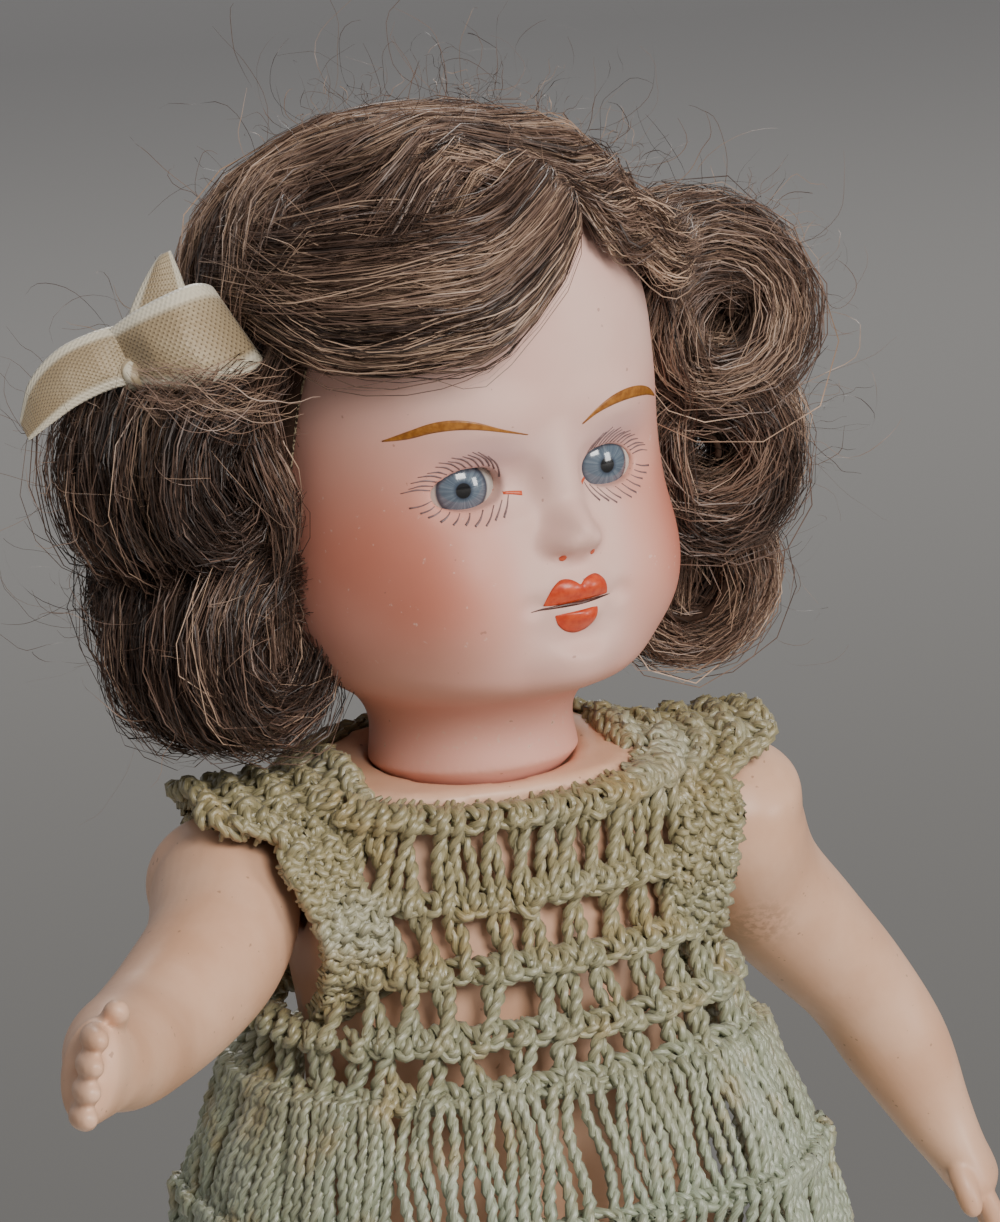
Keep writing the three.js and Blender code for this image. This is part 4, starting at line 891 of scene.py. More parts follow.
def combed(name, count, starts, ends, sag, low, high, node=None, clumps=130, waves=1.9):
    """Strands from a row of starts to a row of ends, lying low at first and higher on their way."""
    of, beside, tone = clumped(count, clumps)
    clump = rng.uniform(size=(clumps, 5))[of]
    t = np.linspace(0, 1, 13)[None, :, None]
    place = np.clip(clump[:, 0] * 1.04 - 0.02 + 0.03 * beside[:, 0], 0, 1)
    first = along_rows(starts, place)[:, None]
    last = along_rows(ends, np.clip(place + 0.1 * (clump[:, 1] - 0.5) + 0.03 * beside[:, 1], 0, 1))[:, None]
    angle = np.arccos(np.clip(np.sum(first * last, -1, keepdims=True), -1, 1))
    ways = (np.sin((1 - t) * angle) * first + np.sin(t * angle) * last) / np.sin(angle)
    across = unit(np.cross(first, last))
    phase = (1.5 * place + 0.3 * clump[:, 3])[:, None]
    wave = np.sin(2 * np.pi * (waves * t + phase[..., None])) * smoothstep(0, 0.3, t)
    swing = np.sin(np.pi * t)
    shift = 0.1 * wave + 0.04 * beside[:, 1, None, None] * swing + 0.16 * (clump[:, 2, None, None] - 0.5)
    sidewards = across * shift * np.sin(np.pi * np.clip(0.08 + t, 0, 1))
    ways = unit(ways + sidewards - np.array([0, 0, sag]) * swing * (1 - place[:, None, None]))
    full = (0.5 - 0.35 * (ways[..., 0] - ways[..., 1])) * smoothstep(0, 0.35, t[..., 0])
    depth = 0.25 + 0.75 * rng.uniform(size=(count, 1)) ** 0.7
    rise = low + (high - low) * smoothstep(0, 0.3, t[..., 0]) + 1.7 * full + 2.4 * (clump[:, 4:5] - 0.5)
    crimp = 0.9 * np.cos(2 * np.pi * (waves * t[..., 0] + phase)) * smoothstep(0.1, 0.4, t[..., 0])
    paths = frizz(over(ways, CAP_LIFT * 0.75 + depth * rise + crimp), 0.75)
    made = strands(name, paths, rng.uniform(*HAIR_HALF, count), tone)
    return dress_up(made, mohair, "head", "mohair", *([node] if node else []))


COMBED_RIGHT, COMBED_LEFT, FALL_RIGHT, FALL_LEFT = 4600, 3000, 1100, 900
HAIR_HALF = 0.032, 0.062
combed("hair_combed_right", COMBED_RIGHT, parting, ends_right, 0.16, 0.7, 1.9, "hair_crown")
combed("hair_combed_left", COMBED_LEFT, parting, ends_left, 0.05, 0.5, 1.3, "hair_crown")
combed("hair_fall_right", FALL_RIGHT, *fall_right, 0, 1.2, 2.6, None, 40, 1.6)
combed("hair_fall_left", FALL_LEFT, *fall_left, 0, 1.2, 2.6, None, 40, 1.6)
print("crown strands:", COMBED_RIGHT + COMBED_LEFT + FALL_RIGHT + FALL_LEFT)

# %% Under hair in painted shade, and gauze beneath
CAP_ROWS, CAP_COLUMNS = 20, 73
ring, rise = np.meshgrid(np.linspace(-np.pi, np.pi, CAP_COLUMNS), np.linspace(0, 1, CAP_ROWS))


def cap_layer(name, low, lift, thick):
    points = over_scalp(ring, low + (1 - low) * rise, lift)
    layer = mesh_piece(name, in_scene(points.reshape(-1, 3)), grid_faces(CAP_ROWS, CAP_COLUMNS))
    use(layer, "SOLIDIFY", thickness=thick * MM, offset=0)
    return layer


# The under hair is a dark sheet: painted shade of the deeper hair.
underhair_lift = 0.9 + 0.75 * smoothstep(0, 0.1, rise) + 0.15 * np.sin(9 * ring) * np.sin(5 * rise)
dress_up(cap_layer("underhair_shade", 0.03, underhair_lift, 0.3), shaded_underhair, "head", "mohair")
netting = Finish("cap_gauze", Specular_IOR_Level=0.15)
mesh_of = netting.node("ShaderNodeTexVoronoi", {"feature": "DISTANCE_TO_EDGE"},
                       {"Vector": netting.place(), "Scale": 1600.0})
gauze_colour = netting.mixed(netting.between(mesh_of, 0.02, 0.16), tint(176, 160, 132), tint(62, 48, 40))
netting.give(Base_Color=gauze_colour, Roughness=0.8)
netting.bump(mesh_of, 0.0001, 0.6)
gauze = cap_layer("wig_gauze", 0.05, np.full(ring.shape, 0.5), 0.15)
dress_up(gauze, netting, "head", "gauze", "wig_cap")
print("gauze has", len(gauze.data.polygons), "faces")

# %% [markdown]
# ### Locks over the brow
#
# The heavy lock leaves the front of the parting, hangs over the brow in a soft bow and rises again
# to the ribbon, with another above it.  A thinner one goes the other way, to the curls at the
# doll's left.

# %% Locks
def lock(name, rows, count, wide, tall, node, clumps=40):
    """Strands along a path of [place, angle, height share, lift], spread over a flat round section."""
    of, beside, tone = clumped(count, clumps)
    clump = rng.normal(size=(clumps, 2))[of] * 0.5
    phase = 0.35 * rng.uniform(size=clumps)[of][:, None]
    t = np.linspace(0, 1, 15)[None, :]
    middle = through(np.array(rows), t[0])
    slack = smoothstep(-0.12, 0.4, t) * (1 - 0.2 * t)
    up = (clump[:, :1] + 0.55 * beside[:, :1]) * tall * slack
    out = (clump[:, 1:] + 0.6 * beside[:, 1:]) * wide * slack
    wave = np.sin(2 * np.pi * (1.9 * t + phase)) * slack
    angle = np.radians(middle[None, :, 0] + 2.4 * wave)
    height = level(middle[None, :, 1]) + up + 0.8 * wave
    skin_place = head_skin(angle, np.clip(height, 0, HEAD_TOP - 0.05))
    lift = np.clip(middle[None, :, 2] + out, 0.9, None)
    paths = frizz(skin_place + unit(skin_place - skull) * lift[..., None], 0.75)
    made = strands(name, paths, rng.uniform(*HAIR_HALF, count), np.clip(tone + 0.1, 0, 1))
    return dress_up(made, mohair, "head", "mohair", node)


over_brow = [[0, 15, 0.86, 2.2], [0.14, 6, 0.815, 3.0], [0.28, -5, 0.75, 3.4], [0.44, -21, 0.685, 3.6],
             [0.6, -38, 0.662, 3.7], [0.76, -57, 0.68, 3.9], [0.9, -75, 0.71, 4.2], [1, -92, 0.73, 4.2]]
above = [[0, 15, 0.9, 2.2], [0.14, 4, 0.865, 3.0], [0.28, -9, 0.815, 3.6], [0.44, -26, 0.77, 4.0],
         [0.6, -43, 0.752, 4.3], [0.76, -63, 0.755, 4.5], [0.9, -82, 0.745, 4.6], [1, -102, 0.72, 4.4]]
at_temple = [[0, 16, 0.87, 1.8], [0.25, 22, 0.835, 2.2], [0.5, 30, 0.79, 2.8], [0.75, 42, 0.75, 3.8],
             [1, 56, 0.715, 5.4]]
lock("lock_over_brow", over_brow, 2100, 1.3, 3.2, "lock_right")
lock("lock_above", above, 1700, 1.2, 3.6, "lock_right")
lock("lock_at_temple", at_temple, 1100, 1.0, 2.3, "lock_left")
print("the heavy lock leaves the parting at", over_brow[0][1], "degrees")

# %% [markdown]
# ### Rolled curls
#
# Each curl starts on the scalp, goes over the top of its roll to the outside, under it and up
# inside, up to one and a half times round.  Layers lie within layers, and the rolls stand so close
# that their outer hair mingles.  A rolled sheet deep inside closes the view through; it is coloured
# near black as painted shade of the hair within the roll.

# %% Curls
# Each with its middle on the straight head, its radius and the heading of its axis in degrees.
curls = {
    "left_1": ((24.0, -4.0, 37.4), 9.8, 10),
    "left_2": ((24.6, -2.5, 24.4), 8.8, 26),
    "left_3": ((23.6, 0.5, 12.6), 8.2, 30),
    "right_1": ((-24.8, 3.6, 29.4), 10.2, -16),
    "right_2": ((-22.6, 4, 13.2), 9.6, -18),
    "back_1": ((-15.5, 21.4, 14.5), 8.4, 54),
    "back_2": ((0.5, 25.4, 14), 8.6, 90),
    "back_3": ((16, 20.8, 14.5), 8.4, -54),
}
CURL_LONG = 15.5


def turned(flat, centre, heading):
    c, s = math.cos(math.radians(-heading)), math.sin(math.radians(-heading))
    x, y, z = np.moveaxis(flat, -1, 0)
    return np.stack([c * x - s * y, s * x + c * y, z], -1) + np.array(centre)


def rolled(centre, radius, heading, count, long, clumps=46, wild=0.0):
    of, beside, tone = clumped(count, clumps)
    clump = rng.uniform(size=(clumps, 5))[of]
    t = np.linspace(0, 1, 14)[None, :]
    inward, sense = (np.pi, -1) if centre[0] > 0 else (0, 1)
    begin = 0.7 * (clump[:, :1] - 0.5) + 0.2 * beside[:, :1]
    turns = 0.75 + 0.7 * clump[:, 1:2]
    angle = inward + sense * (0.35 + begin + 2 * np.pi * turns * t)
    axial = (clump[:, 2:3] - 0.5 + 0.06 * beside[:, 1:]) * long
    barrel = 1 + 0.1 * np.cos(np.pi * axial / long)
    layer = rng.uniform(size=(count, 1)) ** 0.65
    wave = 2 * np.pi * (2.7 * t + clump[:, 3:4])
    reach = radius * barrel * (1 - (0.26 + 0.3 * clump[:, 1:2]) * t**1.2) * (0.42 + 0.58 * layer)
    reach = reach + 0.3 * np.sin(wave) + 0.5 * beside[:, :1] + 0.7 * (clump[:, 4:5] - 0.5)
    reach = reach + wild * np.abs(rng.normal(size=(count, 1))) * (0.4 + np.sin(np.pi * t))
    axial = axial * (1 - 0.2 * t) + 0.4 * np.cos(wave) + 3 * (clump[:, :1] - 0.5) * t
    astray_of = rng.normal(size=(clumps, 1, 3))[of] * np.array([1.1, 1.0, 1.1]) * (0.35 + t[..., None])
    flat = np.stack([reach * np.cos(angle), axial, reach * np.sin(angle)], -1) + astray_of
    return frizz(turned(flat, centre, heading), 0.7 + 0.6 * wild), tone


def core(name, centre, radius, heading, long):
    """The rolled sheet deep in a curl, dark as painted shade of the hair inside it."""
    t, a = np.meshgrid(np.linspace(0.08, 0.95, 44), np.linspace(-0.5, 0.5, 9))
    inward, sense = (np.pi, -1) if centre[0] > 0 else (0, 1)
    angle, reach = inward + sense * 2 * np.pi * 1.6 * t, 0.72 * radius * (1 - 0.85 * t)
    flat = np.stack([reach * np.cos(angle), a * long * 0.8, reach * np.sin(angle)], -1)
    sheet = mesh_piece(name, in_scene(turned(flat, centre, heading).reshape(-1, 3)), grid_faces(*t.shape))
    use(sheet, "SOLIDIFY", thickness=0.5 * MM, offset=0)
    return dress_up(sheet, shaded_underhair, "head", "mohair")


for name, (centre, radius, heading) in curls.items():
    count = 900 if name.startswith("back") else 2500
    paths, tone_of = rolled(centre, radius, heading, count, CURL_LONG, 46, 0.2 if name == "left_1" else 0.5)
    # Painted light and shade: curls on the doll's right and at the middle of the back, away from the lamps,
    # are made darker, and those on its left lighter.
    tone_of = np.clip(tone_of + (0.12 if centre[0] > 1 else -0.24), 0, 1)
    fuzz, fuzz_tone = rolled(centre, radius, heading, count // 8, CURL_LONG + 1, 60, 0.7)
    both, tones = np.concatenate([paths, fuzz]), np.concatenate([tone_of, fuzz_tone])
    roll = strands(f"curl_{name}_hair", both, rng.uniform(0.03, 0.06, len(both)), tones)
    dress_up(roll, mohair, "head", "mohair", f"curl_{name}")
    core(f"curl_{name}_core", centre, radius, heading, CURL_LONG - 0.5)
print("curls:", len(curls))

# %% [markdown]
# ### Loose hairs
#
# Old mohair sheds and stands off.  Fine single hairs leave the crown and the curls and bend in
# wide arcs, each with its own length and curvature.

# %% Loose hairs
def astray(roots, away, count):
    """Arcs that start at roots and bend from the hair's run outwards."""
    pick = rng.integers(0, len(roots), count)
    t = np.linspace(0, 1, 16)[None, :, None]
    length = rng.gamma(3.0, 2.9, (count, 1, 1)).clip(3, 22)
    out = unit(away[pick])[:, None]
    run = unit(np.cross(out, rng.normal(size=(count, 1, 3))))
    bend = rng.uniform(0.9, 4.4, (count, 1, 1))
    lean = rng.uniform(0.25, 1.0, (count, 1, 1))
    arc = run * np.sin(bend * t) / bend + out * lean * (1 - np.cos(bend * t)) / bend
    return frizz(roots[pick][:, None] + length * arc + out * lean * 0.12 * length * t, 0.5)


crown_ways = unit(rng.normal(size=(900, 3)) + np.array([-0.3, -0.2, 1.1]))
crown_ways = crown_ways[(crown_ways[:, 2] > 0.35) & (crown_ways[:, 1] > -0.55)]
roots = [over(crown_ways, np.full(len(crown_ways), 3.2))]
outward = [crown_ways]
for name, (centre, radius, heading) in curls.items():
    on_curl = rolled(centre, radius, heading, 260, CURL_LONG - 0.5, 60)[0][:, 4]
    on_curl = on_curl[np.linalg.norm(on_curl[:, :2], axis=-1) > 24]
    roots.append(on_curl)
    outward.append(on_curl - np.array(centre))
arcs = astray(np.concatenate(roots), np.concatenate(outward), 1700)
halves, tones = rng.uniform(0.016, 0.03, len(arcs)), rng.uniform(0.15, 0.8, len(arcs))
dress_up(strands("hair_loose", arcs, halves, tones), mohair, "head", "mohair")
print("loose hairs:", len(arcs))

# %% [markdown]
# ## The ribbon bow
#
# The bow is tied from one length of thin silk ribbon with a plain open weave and satin edges.  One
# loop lies puffed towards the front, one stands up behind it in a pointed fold, and the cut end
# curls away from the knot.  Each part is a strip between two edges, given by a few points to the
# right, up and out of the knot, with the hair beneath as its support.

# %% Ribbon strips
knot = np.array([-30.65, 1.5, 39.2])
bow_right, bow_up, bow_out = (on_head(neck + np.array(v)) for v in (right * MM, up * MM, back * MM))
bow_axes = np.array([bow_right, bow_up, bow_out])
RIBBON_WIDE = 5.5


def strip(name, lower, upper, swell, long=72, wide=16):
    """A ribbon between two edges of [right, up, out] points, swollen outwards in its middle."""
    edges = []
    for edge in (lower, upper):
        edge = np.asarray(edge, float)
        run = np.concatenate([[0], np.cumsum(np.linalg.norm(np.diff(edge, axis=0), axis=1))])
        edges.append(through(np.column_stack([run / run[-1], edge]), np.linspace(0, 1, long)))
    share = np.linspace(0, 1, wide)[:, None, None]
    flat = edges[0] + (edges[1] - edges[0]) * share
    along = np.linspace(0, 1, long)
    puff = np.interp(along, np.linspace(0, 1, len(swell)), swell)
    flat[..., 2] += puff * np.sin(np.pi * share[..., 0]) ** 0.8
    crease = np.sin(9 * share[..., 0] + 5 * along) * np.exp(-((along - 0.02) / 0.12) ** 2)
    flat[..., 2] += 0.35 * crease
    points = knot + flat @ bow_axes
    piece = mesh_piece(name, in_scene(points.reshape(-1, 3)), grid_faces(wide, long),
                       across=np.repeat(share.ravel(), long))
    layer = piece.data.uv_layers.new(name="weave")
    span = np.linalg.norm(np.diff((edges[0] + edges[1]) / 2, axis=0), axis=1).sum()
    corner = np.array([loop.vertex_index for loop in piece.data.loops])
    uv = np.stack([corner // long / (wide - 1) * RIBBON_WIDE, corner % long / (long - 1) * span], -1)
    layer.data.foreach_set("uv", uv.astype(np.float32).ravel())
    use(piece, "SUBSURF", levels=1, render_levels=1)
    use(piece, "SOLIDIFY", thickness=0.09 * MM, offset=0)
    bpy.ops.object.shade_smooth()
    return piece


print("bow knot at", in_scene(knot).round(4))

# %% Ribbon finish
WEFT_TURNS, WARP_TURNS = 15.7, 12.6
silk_ribbon = Finish("silk_ribbon", Specular_IOR_Level=0.55, Sheen_Weight=0.3)
woven = silk_ribbon.node("ShaderNodeUVMap", {"uv_map": "weave"})
weft = silk_ribbon.node("ShaderNodeSeparateXYZ", None, {0: woven}, out="X")
warp = silk_ribbon.node("ShaderNodeSeparateXYZ", None, {0: woven}, out="Y")
stray = (silk_ribbon.noise(500, 2) - 0.5) * 1.2
threads_x = (weft * WEFT_TURNS + stray).sine()
threads_y = (warp * WARP_TURNS + stray).sine()
net = threads_x * threads_y
edge_band = silk_ribbon.between(abs(silk_ribbon.kept("across") - 0.5), 0.3, 0.4)
cloudy = silk_ribbon.between(silk_ribbon.noise(160, 3), 0.35, 0.65)
cream = silk_ribbon.mixed(cloudy, tint(164, 143, 110), tint(188, 170, 138))
cream = silk_ribbon.mixed(silk_ribbon.between(net, 0.1, 0.8) * 0.5, cream, tint(132, 110, 80))
cream = silk_ribbon.mixed(edge_band, cream, tint(224, 214, 190))
silk_ribbon.give(Base_Color=cream, Roughness=0.46 - edge_band * 0.16 + silk_ribbon.noise(800) * 0.1)
opening = silk_ribbon.between(net, 0.45, 0.85) * (1 - edge_band)
silk_ribbon.give(Alpha=1 - opening * 0.55)
silk_ribbon.bump(net * 0.5 + threads_x * 0.3, 0.00006, 0.8)
print("ribbon woven with", round(WEFT_TURNS / (2 * math.pi), 1), "threads a millimetre")

# %% Loops, tail and knot
# Each strip with the solid it stands for, its lower edge, its upper edge and its swell.
ribbon_strips = {
    "ribbon_loop_front": (
        "bow_loop_front",
        [[-0.4, -1.2, 0.4], [2.5, -1.5, 1.9], [6, -1.3, 2.3], [9.2, -0.4, 1.2], [10.9, 1.2, -0.6],
         [9.6, 1.4, -2.6], [6, 0.6, -3.2], [0.4, 0.3, -1.8]],
        [[-2.6, 3.8, 0.2], [-0.4, 5.3, 1.2], [2.4, 6.8, 1.3], [4.9, 7.8, 0.6], [6.4, 7.6, -1.0],
         [6.4, 6.6, -2.8], [4, 4.4, -3.4], [0.2, 2.4, -2.2]],
        [0, 1.6, 2.0, 1.0, 0.2, -0.6, -0.4, 0]),
    "ribbon_loop_back": (
        "bow_loop_back",
        [[-1.6, 3.0, -1.4], [-0.6, 6.2, -1.8], [1.0, 9.4, -2.4], [1.9, 10.6, -3.1], [1.8, 9.4, -4.0],
         [0.6, 5.6, -4.0], [-0.6, 1.0, -2.6]],
        [[4.4, 3.4, -1.6], [4.4, 6.0, -2.0], [3.6, 8.6, -2.5], [2.6, 10.9, -3.2], [3.4, 8.8, -4.2],
         [3.6, 5.2, -4.4], [1.2, 0.8, -3.0]],
        [0.2, 1.0, 0.7, 0, -0.7, -0.9, 0]),
    "ribbon_tail": (
        "bow_tail_outer",
        [[0.2, -0.9, 0.4], [-2.2, -1.4, 0.9], [-5.2, -2.8, 1.0], [-7.8, -4.6, 0.5], [-9.6, -5.9, -0.3]],
        [[-1.4, 4.3, 0.0], [-4.0, 3.6, 0.3], [-7.2, 2.0, 0.2], [-9.6, -0.7, -0.4], [-10.5, -4.2, -1.0]],
        [0.2, 0.9, 0.8, 0.5, 0.1]),
    "ribbon_tail_back": (
        "bow_tail_back",
        [[0.2, -1.2, -0.8], [-1.2, -2.2, -3.0], [-2.6, -2.6, -5.4], [-4.2, -3.4, -7.2]],
        [[-0.8, 2.4, -1.0], [-2.6, 2.2, -3.4], [-4.4, 2.0, -5.8], [-6.4, 0.6, -7.4]],
        [0, 0.5, 0.5, 0]),
}
bow_faces = 0
for name, (node, lower, upper, swell) in ribbon_strips.items():
    ribbon = strip(name, lower, upper, swell)
    dress_up(ribbon, silk_ribbon, "head", "ribbon", node)
    bow_faces += len(ribbon.data.polygons)
tied = sphere("ribbon_knot", 40, 24)
ball = places(tied)
around = np.arctan2(ball[:, 1], ball[:, 0])
ball *= (1 + 0.07 * np.cos(5 * around + 4 * ball[:, 2]))[:, None] * np.array([1.9, 1.6, 1.5])
move_points(tied, in_scene(ball + knot))
keep(tied, across=0.5 + 0.45 * np.sin(3 * around))
bpy.ops.object.shade_smooth()
dress_up(tied, silk_ribbon, "head", "ribbon", "bow_knot")
print("bow of", bow_faces + len(tied.data.polygons), "faces")

# %% Hairs over the ribbon
CROSSING = 170
t = np.linspace(0, 1, 14)[None, :, None]
begin = knot + rng.uniform([-1, -3, -2], [5, 1, 5], (CROSSING, 3)) @ bow_axes
begin = begin + 3.6 * bow_out
finish_at = begin + rng.uniform([3, -3, -5], [11, 2, -2], (CROSSING, 3)) @ bow_axes
crossing = begin[:, None] * (1 - t) + finish_at[:, None] * t + 1.4 * np.sin(np.pi * t) * bow_out
crossing = crossing - rng.uniform(0, 2.4, (CROSSING, 1, 1)) * np.sin(np.pi * t) * bow_up
crossing = frizz(crossing, 0.5)
halves, tones = rng.uniform(0.025, 0.045, CROSSING), rng.uniform(0.4, 0.9, CROSSING)
dress_up(strands("hair_over_bow", crossing, halves, tones), mohair, "head", "mohair")
print("hairs across the bow:", CROSSING)

# %% [markdown]
# ## Composition body and limbs
#
# Body and limbs are cast from composition, a paste of sawdust and glue, dipped in flesh paint and
# varnished.  The arms are modelled again from ovals along a bent line, with small curled fingers,
# and melted into one skin by a remesh.  Body and legs take the form of their solids, remeshed and
# smoothed until the facets are gone.

# %% Places on the body
# Millimetres: neck rim and shoulder axis above the hips, shoulder beside the middle, hip to sole.
RIM, SHOULDER, SOCKET, LEG_LONG = 60.0, 49.5, 18.6, 82
hips = neck - [0, 0, RIM * MM]


def on_body(points):
    """Points in millimetres from the middle of the hip axis, placed in the scene."""
    return np.asarray(points, float) * MM + hips


def off_body(points):
    return (np.asarray(points, float) - hips) / MM


def oval_limb(rows, rings, count, ahead):
    """Rings of points along [place, x, y, z, half width, half depth]."""
    place = np.linspace(rows[0][0], rows[-1][0], rings)
    values = through(rows, place)
    along = np.gradient(values[:, :3], axis=0)
    along /= np.linalg.norm(along, axis=1, keepdims=True)
    fore = np.asarray(ahead, float) - along * (along @ np.asarray(ahead, float))[:, None]
    fore /= np.linalg.norm(fore, axis=1, keepdims=True)
    side = np.cross(along, fore)
    turn = np.linspace(0, 2 * np.pi, count, endpoint=False)[None, :, None]
    wide, deep = values[:, 3, None, None], values[:, 4, None, None]
    return values[:, None, :3] + side[:, None] * wide * np.cos(turn) + fore[:, None] * deep * np.sin(turn)


print("hip axis at", hips.round(4))

# %% Arms and hands
arm_rows = [[0, 6, 0, 7.7, 1.2, 1.6], [0.35, 6, 0, 7.1, 3.6, 3.6], [1, 6, 0, 5, 6, 6.2],
            [2, 6.1, 0, 0, 6.8, 7.8], [3, 9.6, 0, -7.4, 6.4, 6.8], [4, 15.4, -0.5, -14.6, 5.9, 6.1],
            [5, 21, -2, -21.2, 5.3, 5.5],
            [6, 25.2, -5.2, -27.6, 5, 5], [7, 28.4, -8.6, -33.6, 3.7, 4], [8, 30.4, -10.9, -37, 2.9, 4.5],
            [8.7, 32.1, -12.6, -39.7, 2.4, 4.5], [9, 32.7, -13.3, -40.7, 1.2, 3]]
palm_end = np.array([32.1, -12.6, -39.7])
hand_along = np.array([0.476, -0.476, -0.74])
hand_fore = np.array([-0.258, -0.88, 0.4])
hand_in = np.array([-0.841, 0, -0.542])
FINGER = 1.15
LEFT_SWING, RIGHT_SWING = -28, 70
# Fingers and thumb as [along, across, curl, thickness], from the end of the palm.
digits = []
for number in (-1.5, -0.5, 0.5, 1.5):
    long, across = 6 - 0.5 * abs(number - 0.4), 1.92 * FINGER * number
    digits.append([(-1.6, across, 0, 0.9), (0.45 * long, across, 0.3, 1),
                   (0.85 * long, across, 1.2, 0.92), (long, across, 1.9, 0.45)])
digits.append([(-4.4, 2.6, 0.4, 0.9), (-2.2, 4.6, 1, 1.05), (0, 5.4, 1.5, 0.95), (1, 5.6, 1.7, 0.45)])


def made_arm(side, sign, swing):
    forms = [(np.array(arm_rows), 60, 40, (0, -1, 0))]
    for bends in digits:
        rows = []
        for i, (out, across, curl, fat) in enumerate(bends):
            place = palm_end + hand_along * out + hand_fore * across + hand_in * curl
            rows.append([i, *place, FINGER * fat, FINGER * fat])
        forms.append((np.array(rows), 16, 14, hand_fore))
    pieces = []
    lean = -math.radians(swing)
    for rows, rings, count, ahead in forms:
        points = oval_limb(rows, rings, count, ahead)
        points[..., 0] = np.maximum(points[..., 0], 0)
        px, py, pz = np.moveaxis(points, -1, 0)
        points = np.stack([sign * (px + SOCKET), py * math.cos(lean) - pz * math.sin(lean),
                           py * math.sin(lean) + pz * math.cos(lean) + SHOULDER], -1)
        faces = grid_faces(rings, count, closed=True)
        pieces.append(close_ends(mesh_piece(f"arm_form_{side}", on_body(points.reshape(-1, 3)), faces)))
    bpy.ops.object.select_all(action="DESELECT")
    for form in pieces:
        form.select_set(True)
    bpy.context.view_layer.objects.active = pieces[0]
    bpy.ops.object.join()
    arm = bpy.context.object
    arm.name = f"arm_skin_{side}"
    use(arm, "REMESH", mode="VOXEL", voxel_size=SKIN_VOXEL)
    use(arm, "SMOOTH", factor=0.5, iterations=5)
    use(arm, "DECIMATE", ratio=0.5)
    bpy.ops.object.shade_smooth()
    return arm


def composition(name, stain_at):
    """Flesh paint under old varnish: mottled, specked and stained in one place."""
    finish = Finish(name, Specular_IOR_Level=0.45, Coat_Weight=0.25, Coat_Roughness=0.35)
    cloud, grain = finish.noise(110, 4), finish.noise(900, 3)
    flesh = finish.mixed(finish.between(cloud, 0.3, 0.7), tint(216, 168, 136), tint(228, 184, 154))
    flesh = finish.mixed(finish.between(finish.noise(45, 2), 0.55, 0.75) * 0.4, flesh, tint(206, 152, 118))
    gone = finish.vector("DISTANCE", finish.place(), stain_at, out="Value")
    stain = finish.between(gone, 0.006, 0.001) * finish.between(finish.noise(1200, 3), 0.4, 0.62)
    flesh = finish.mixed(stain * 0.7, flesh, tint(128, 88, 52))
    speck = finish.between(finish.noise(1300, 1), 0.74, 0.77)
    flesh = finish.mixed(speck * 0.45, flesh, tint(120, 76, 50))
    finish.give(Base_Color=flesh, Roughness=0.36 + grain * 0.16)
    finish.bump(grain, 0.00004, 0.5)
    return finish


stains = {"left": (25.5, -4.5, 38), "right": (-27, -30, 30)}
for side, sign, swing in (("left", 1, LEFT_SWING), ("right", -1, RIGHT_SWING)):
    arm = made_arm(side, sign, swing)
    flesh_paint = composition(f"composition_arm_{side}", tuple(on_body(stains[side])))
    dress_up(arm, flesh_paint, f"arm_{side}", "composition", f"arm_{side}")
    print(arm.name, "has", len(arm.data.polygons), "faces")

# %% Body and legs from their solids
def smoothed_solid(node, name, voxel, rounds):
    """A copy of a solid, welded, remeshed in voxels of some millimetres and smoothed for some rounds."""
    piece = bpy.data.objects.new(name, frame["nodes"][node].data.copy())
    bpy.context.collection.objects.link(piece)
    welded = bmesh.new()
    welded.from_mesh(piece.data)
    bmesh.ops.remove_doubles(welded, verts=welded.verts, dist=1e-6)
    welded.to_mesh(piece.data)
    welded.free()
    use(piece, "REMESH", mode="VOXEL", voxel_size=voxel * MM)
    use(piece, "SMOOTH", factor=0.5, iterations=rounds)
    use(piece, "DECIMATE", ratio=0.4)
    bpy.ops.object.shade_smooth()
    return piece


body = smoothed_solid("torso", "body_skin", 0.45, 14)
flesh_paint = composition("composition_body", tuple(on_body([14, -12, 20])))
dress_up(body, flesh_paint, "torso", "composition", "torso")

painted_leg = composition("composition_leg", tuple(on_body([14, -8, -30])))
sock, shoe = painted_leg.kept("sock"), painted_leg.kept("shoe")
knit = painted_leg.node("ShaderNodeTexWave", {"wave_type": "BANDS", "bands_direction": "Z"},
                        {"Vector": painted_leg.place(), "Scale": 420, "Distortion": 1.2})
under = painted_leg.shader.inputs["Base Color"].links[0].from_socket
cover = painted_leg.mixed(painted_leg.between(sock, 0.4, 0.6), Value(painted_leg, under),
                          painted_leg.mixed(knit, tint(208, 202, 190), tint(226, 221, 210)))
leather = painted_leg.mixed(painted_leg.noise(500, 3), tint(34, 26, 22), tint(62, 48, 40))
painted_leg.give(Base_Color=painted_leg.mixed(painted_leg.between(shoe, 0.4, 0.6), cover, leather))
for side in ("left", "right"):
    leg = smoothed_solid(f"leg_{side}", f"leg_skin_{side}", 0.4, 7)
    _, ly, lz = (off_body(places(leg)) + [0, 0, LEG_LONG]).T
    upper = smoothstep(6.6, 5.9, lz - 0.25 * (ly + 4))
    strap = smoothstep(1.3, 0.9, np.abs(lz - 9.5 + 0.25 * ly))
    keep(leg, sock=smoothstep(34.9, 34.1, lz), shoe=np.maximum(upper, strap))
    dress_up(leg, painted_leg, f"leg_{side}", "composition", f"leg_{side}")
print("body has", len(body.data.polygons), "faces")

# %% [markdown]
# ## The crocheted dress
#
# The thread is a silky two ply twist, a good millimetre thick.  Every stitch is modelled as the
# path that the thread takes: chains are rows of small loops, each caught by the next; posts are
# two strands wound once round each other and hooked over the chains above and below; the skirt is
# tiers of long loops.  A path lies on the dress surface, given as a place round the body, a height
# and a distance out, and then two plies are wound round it.

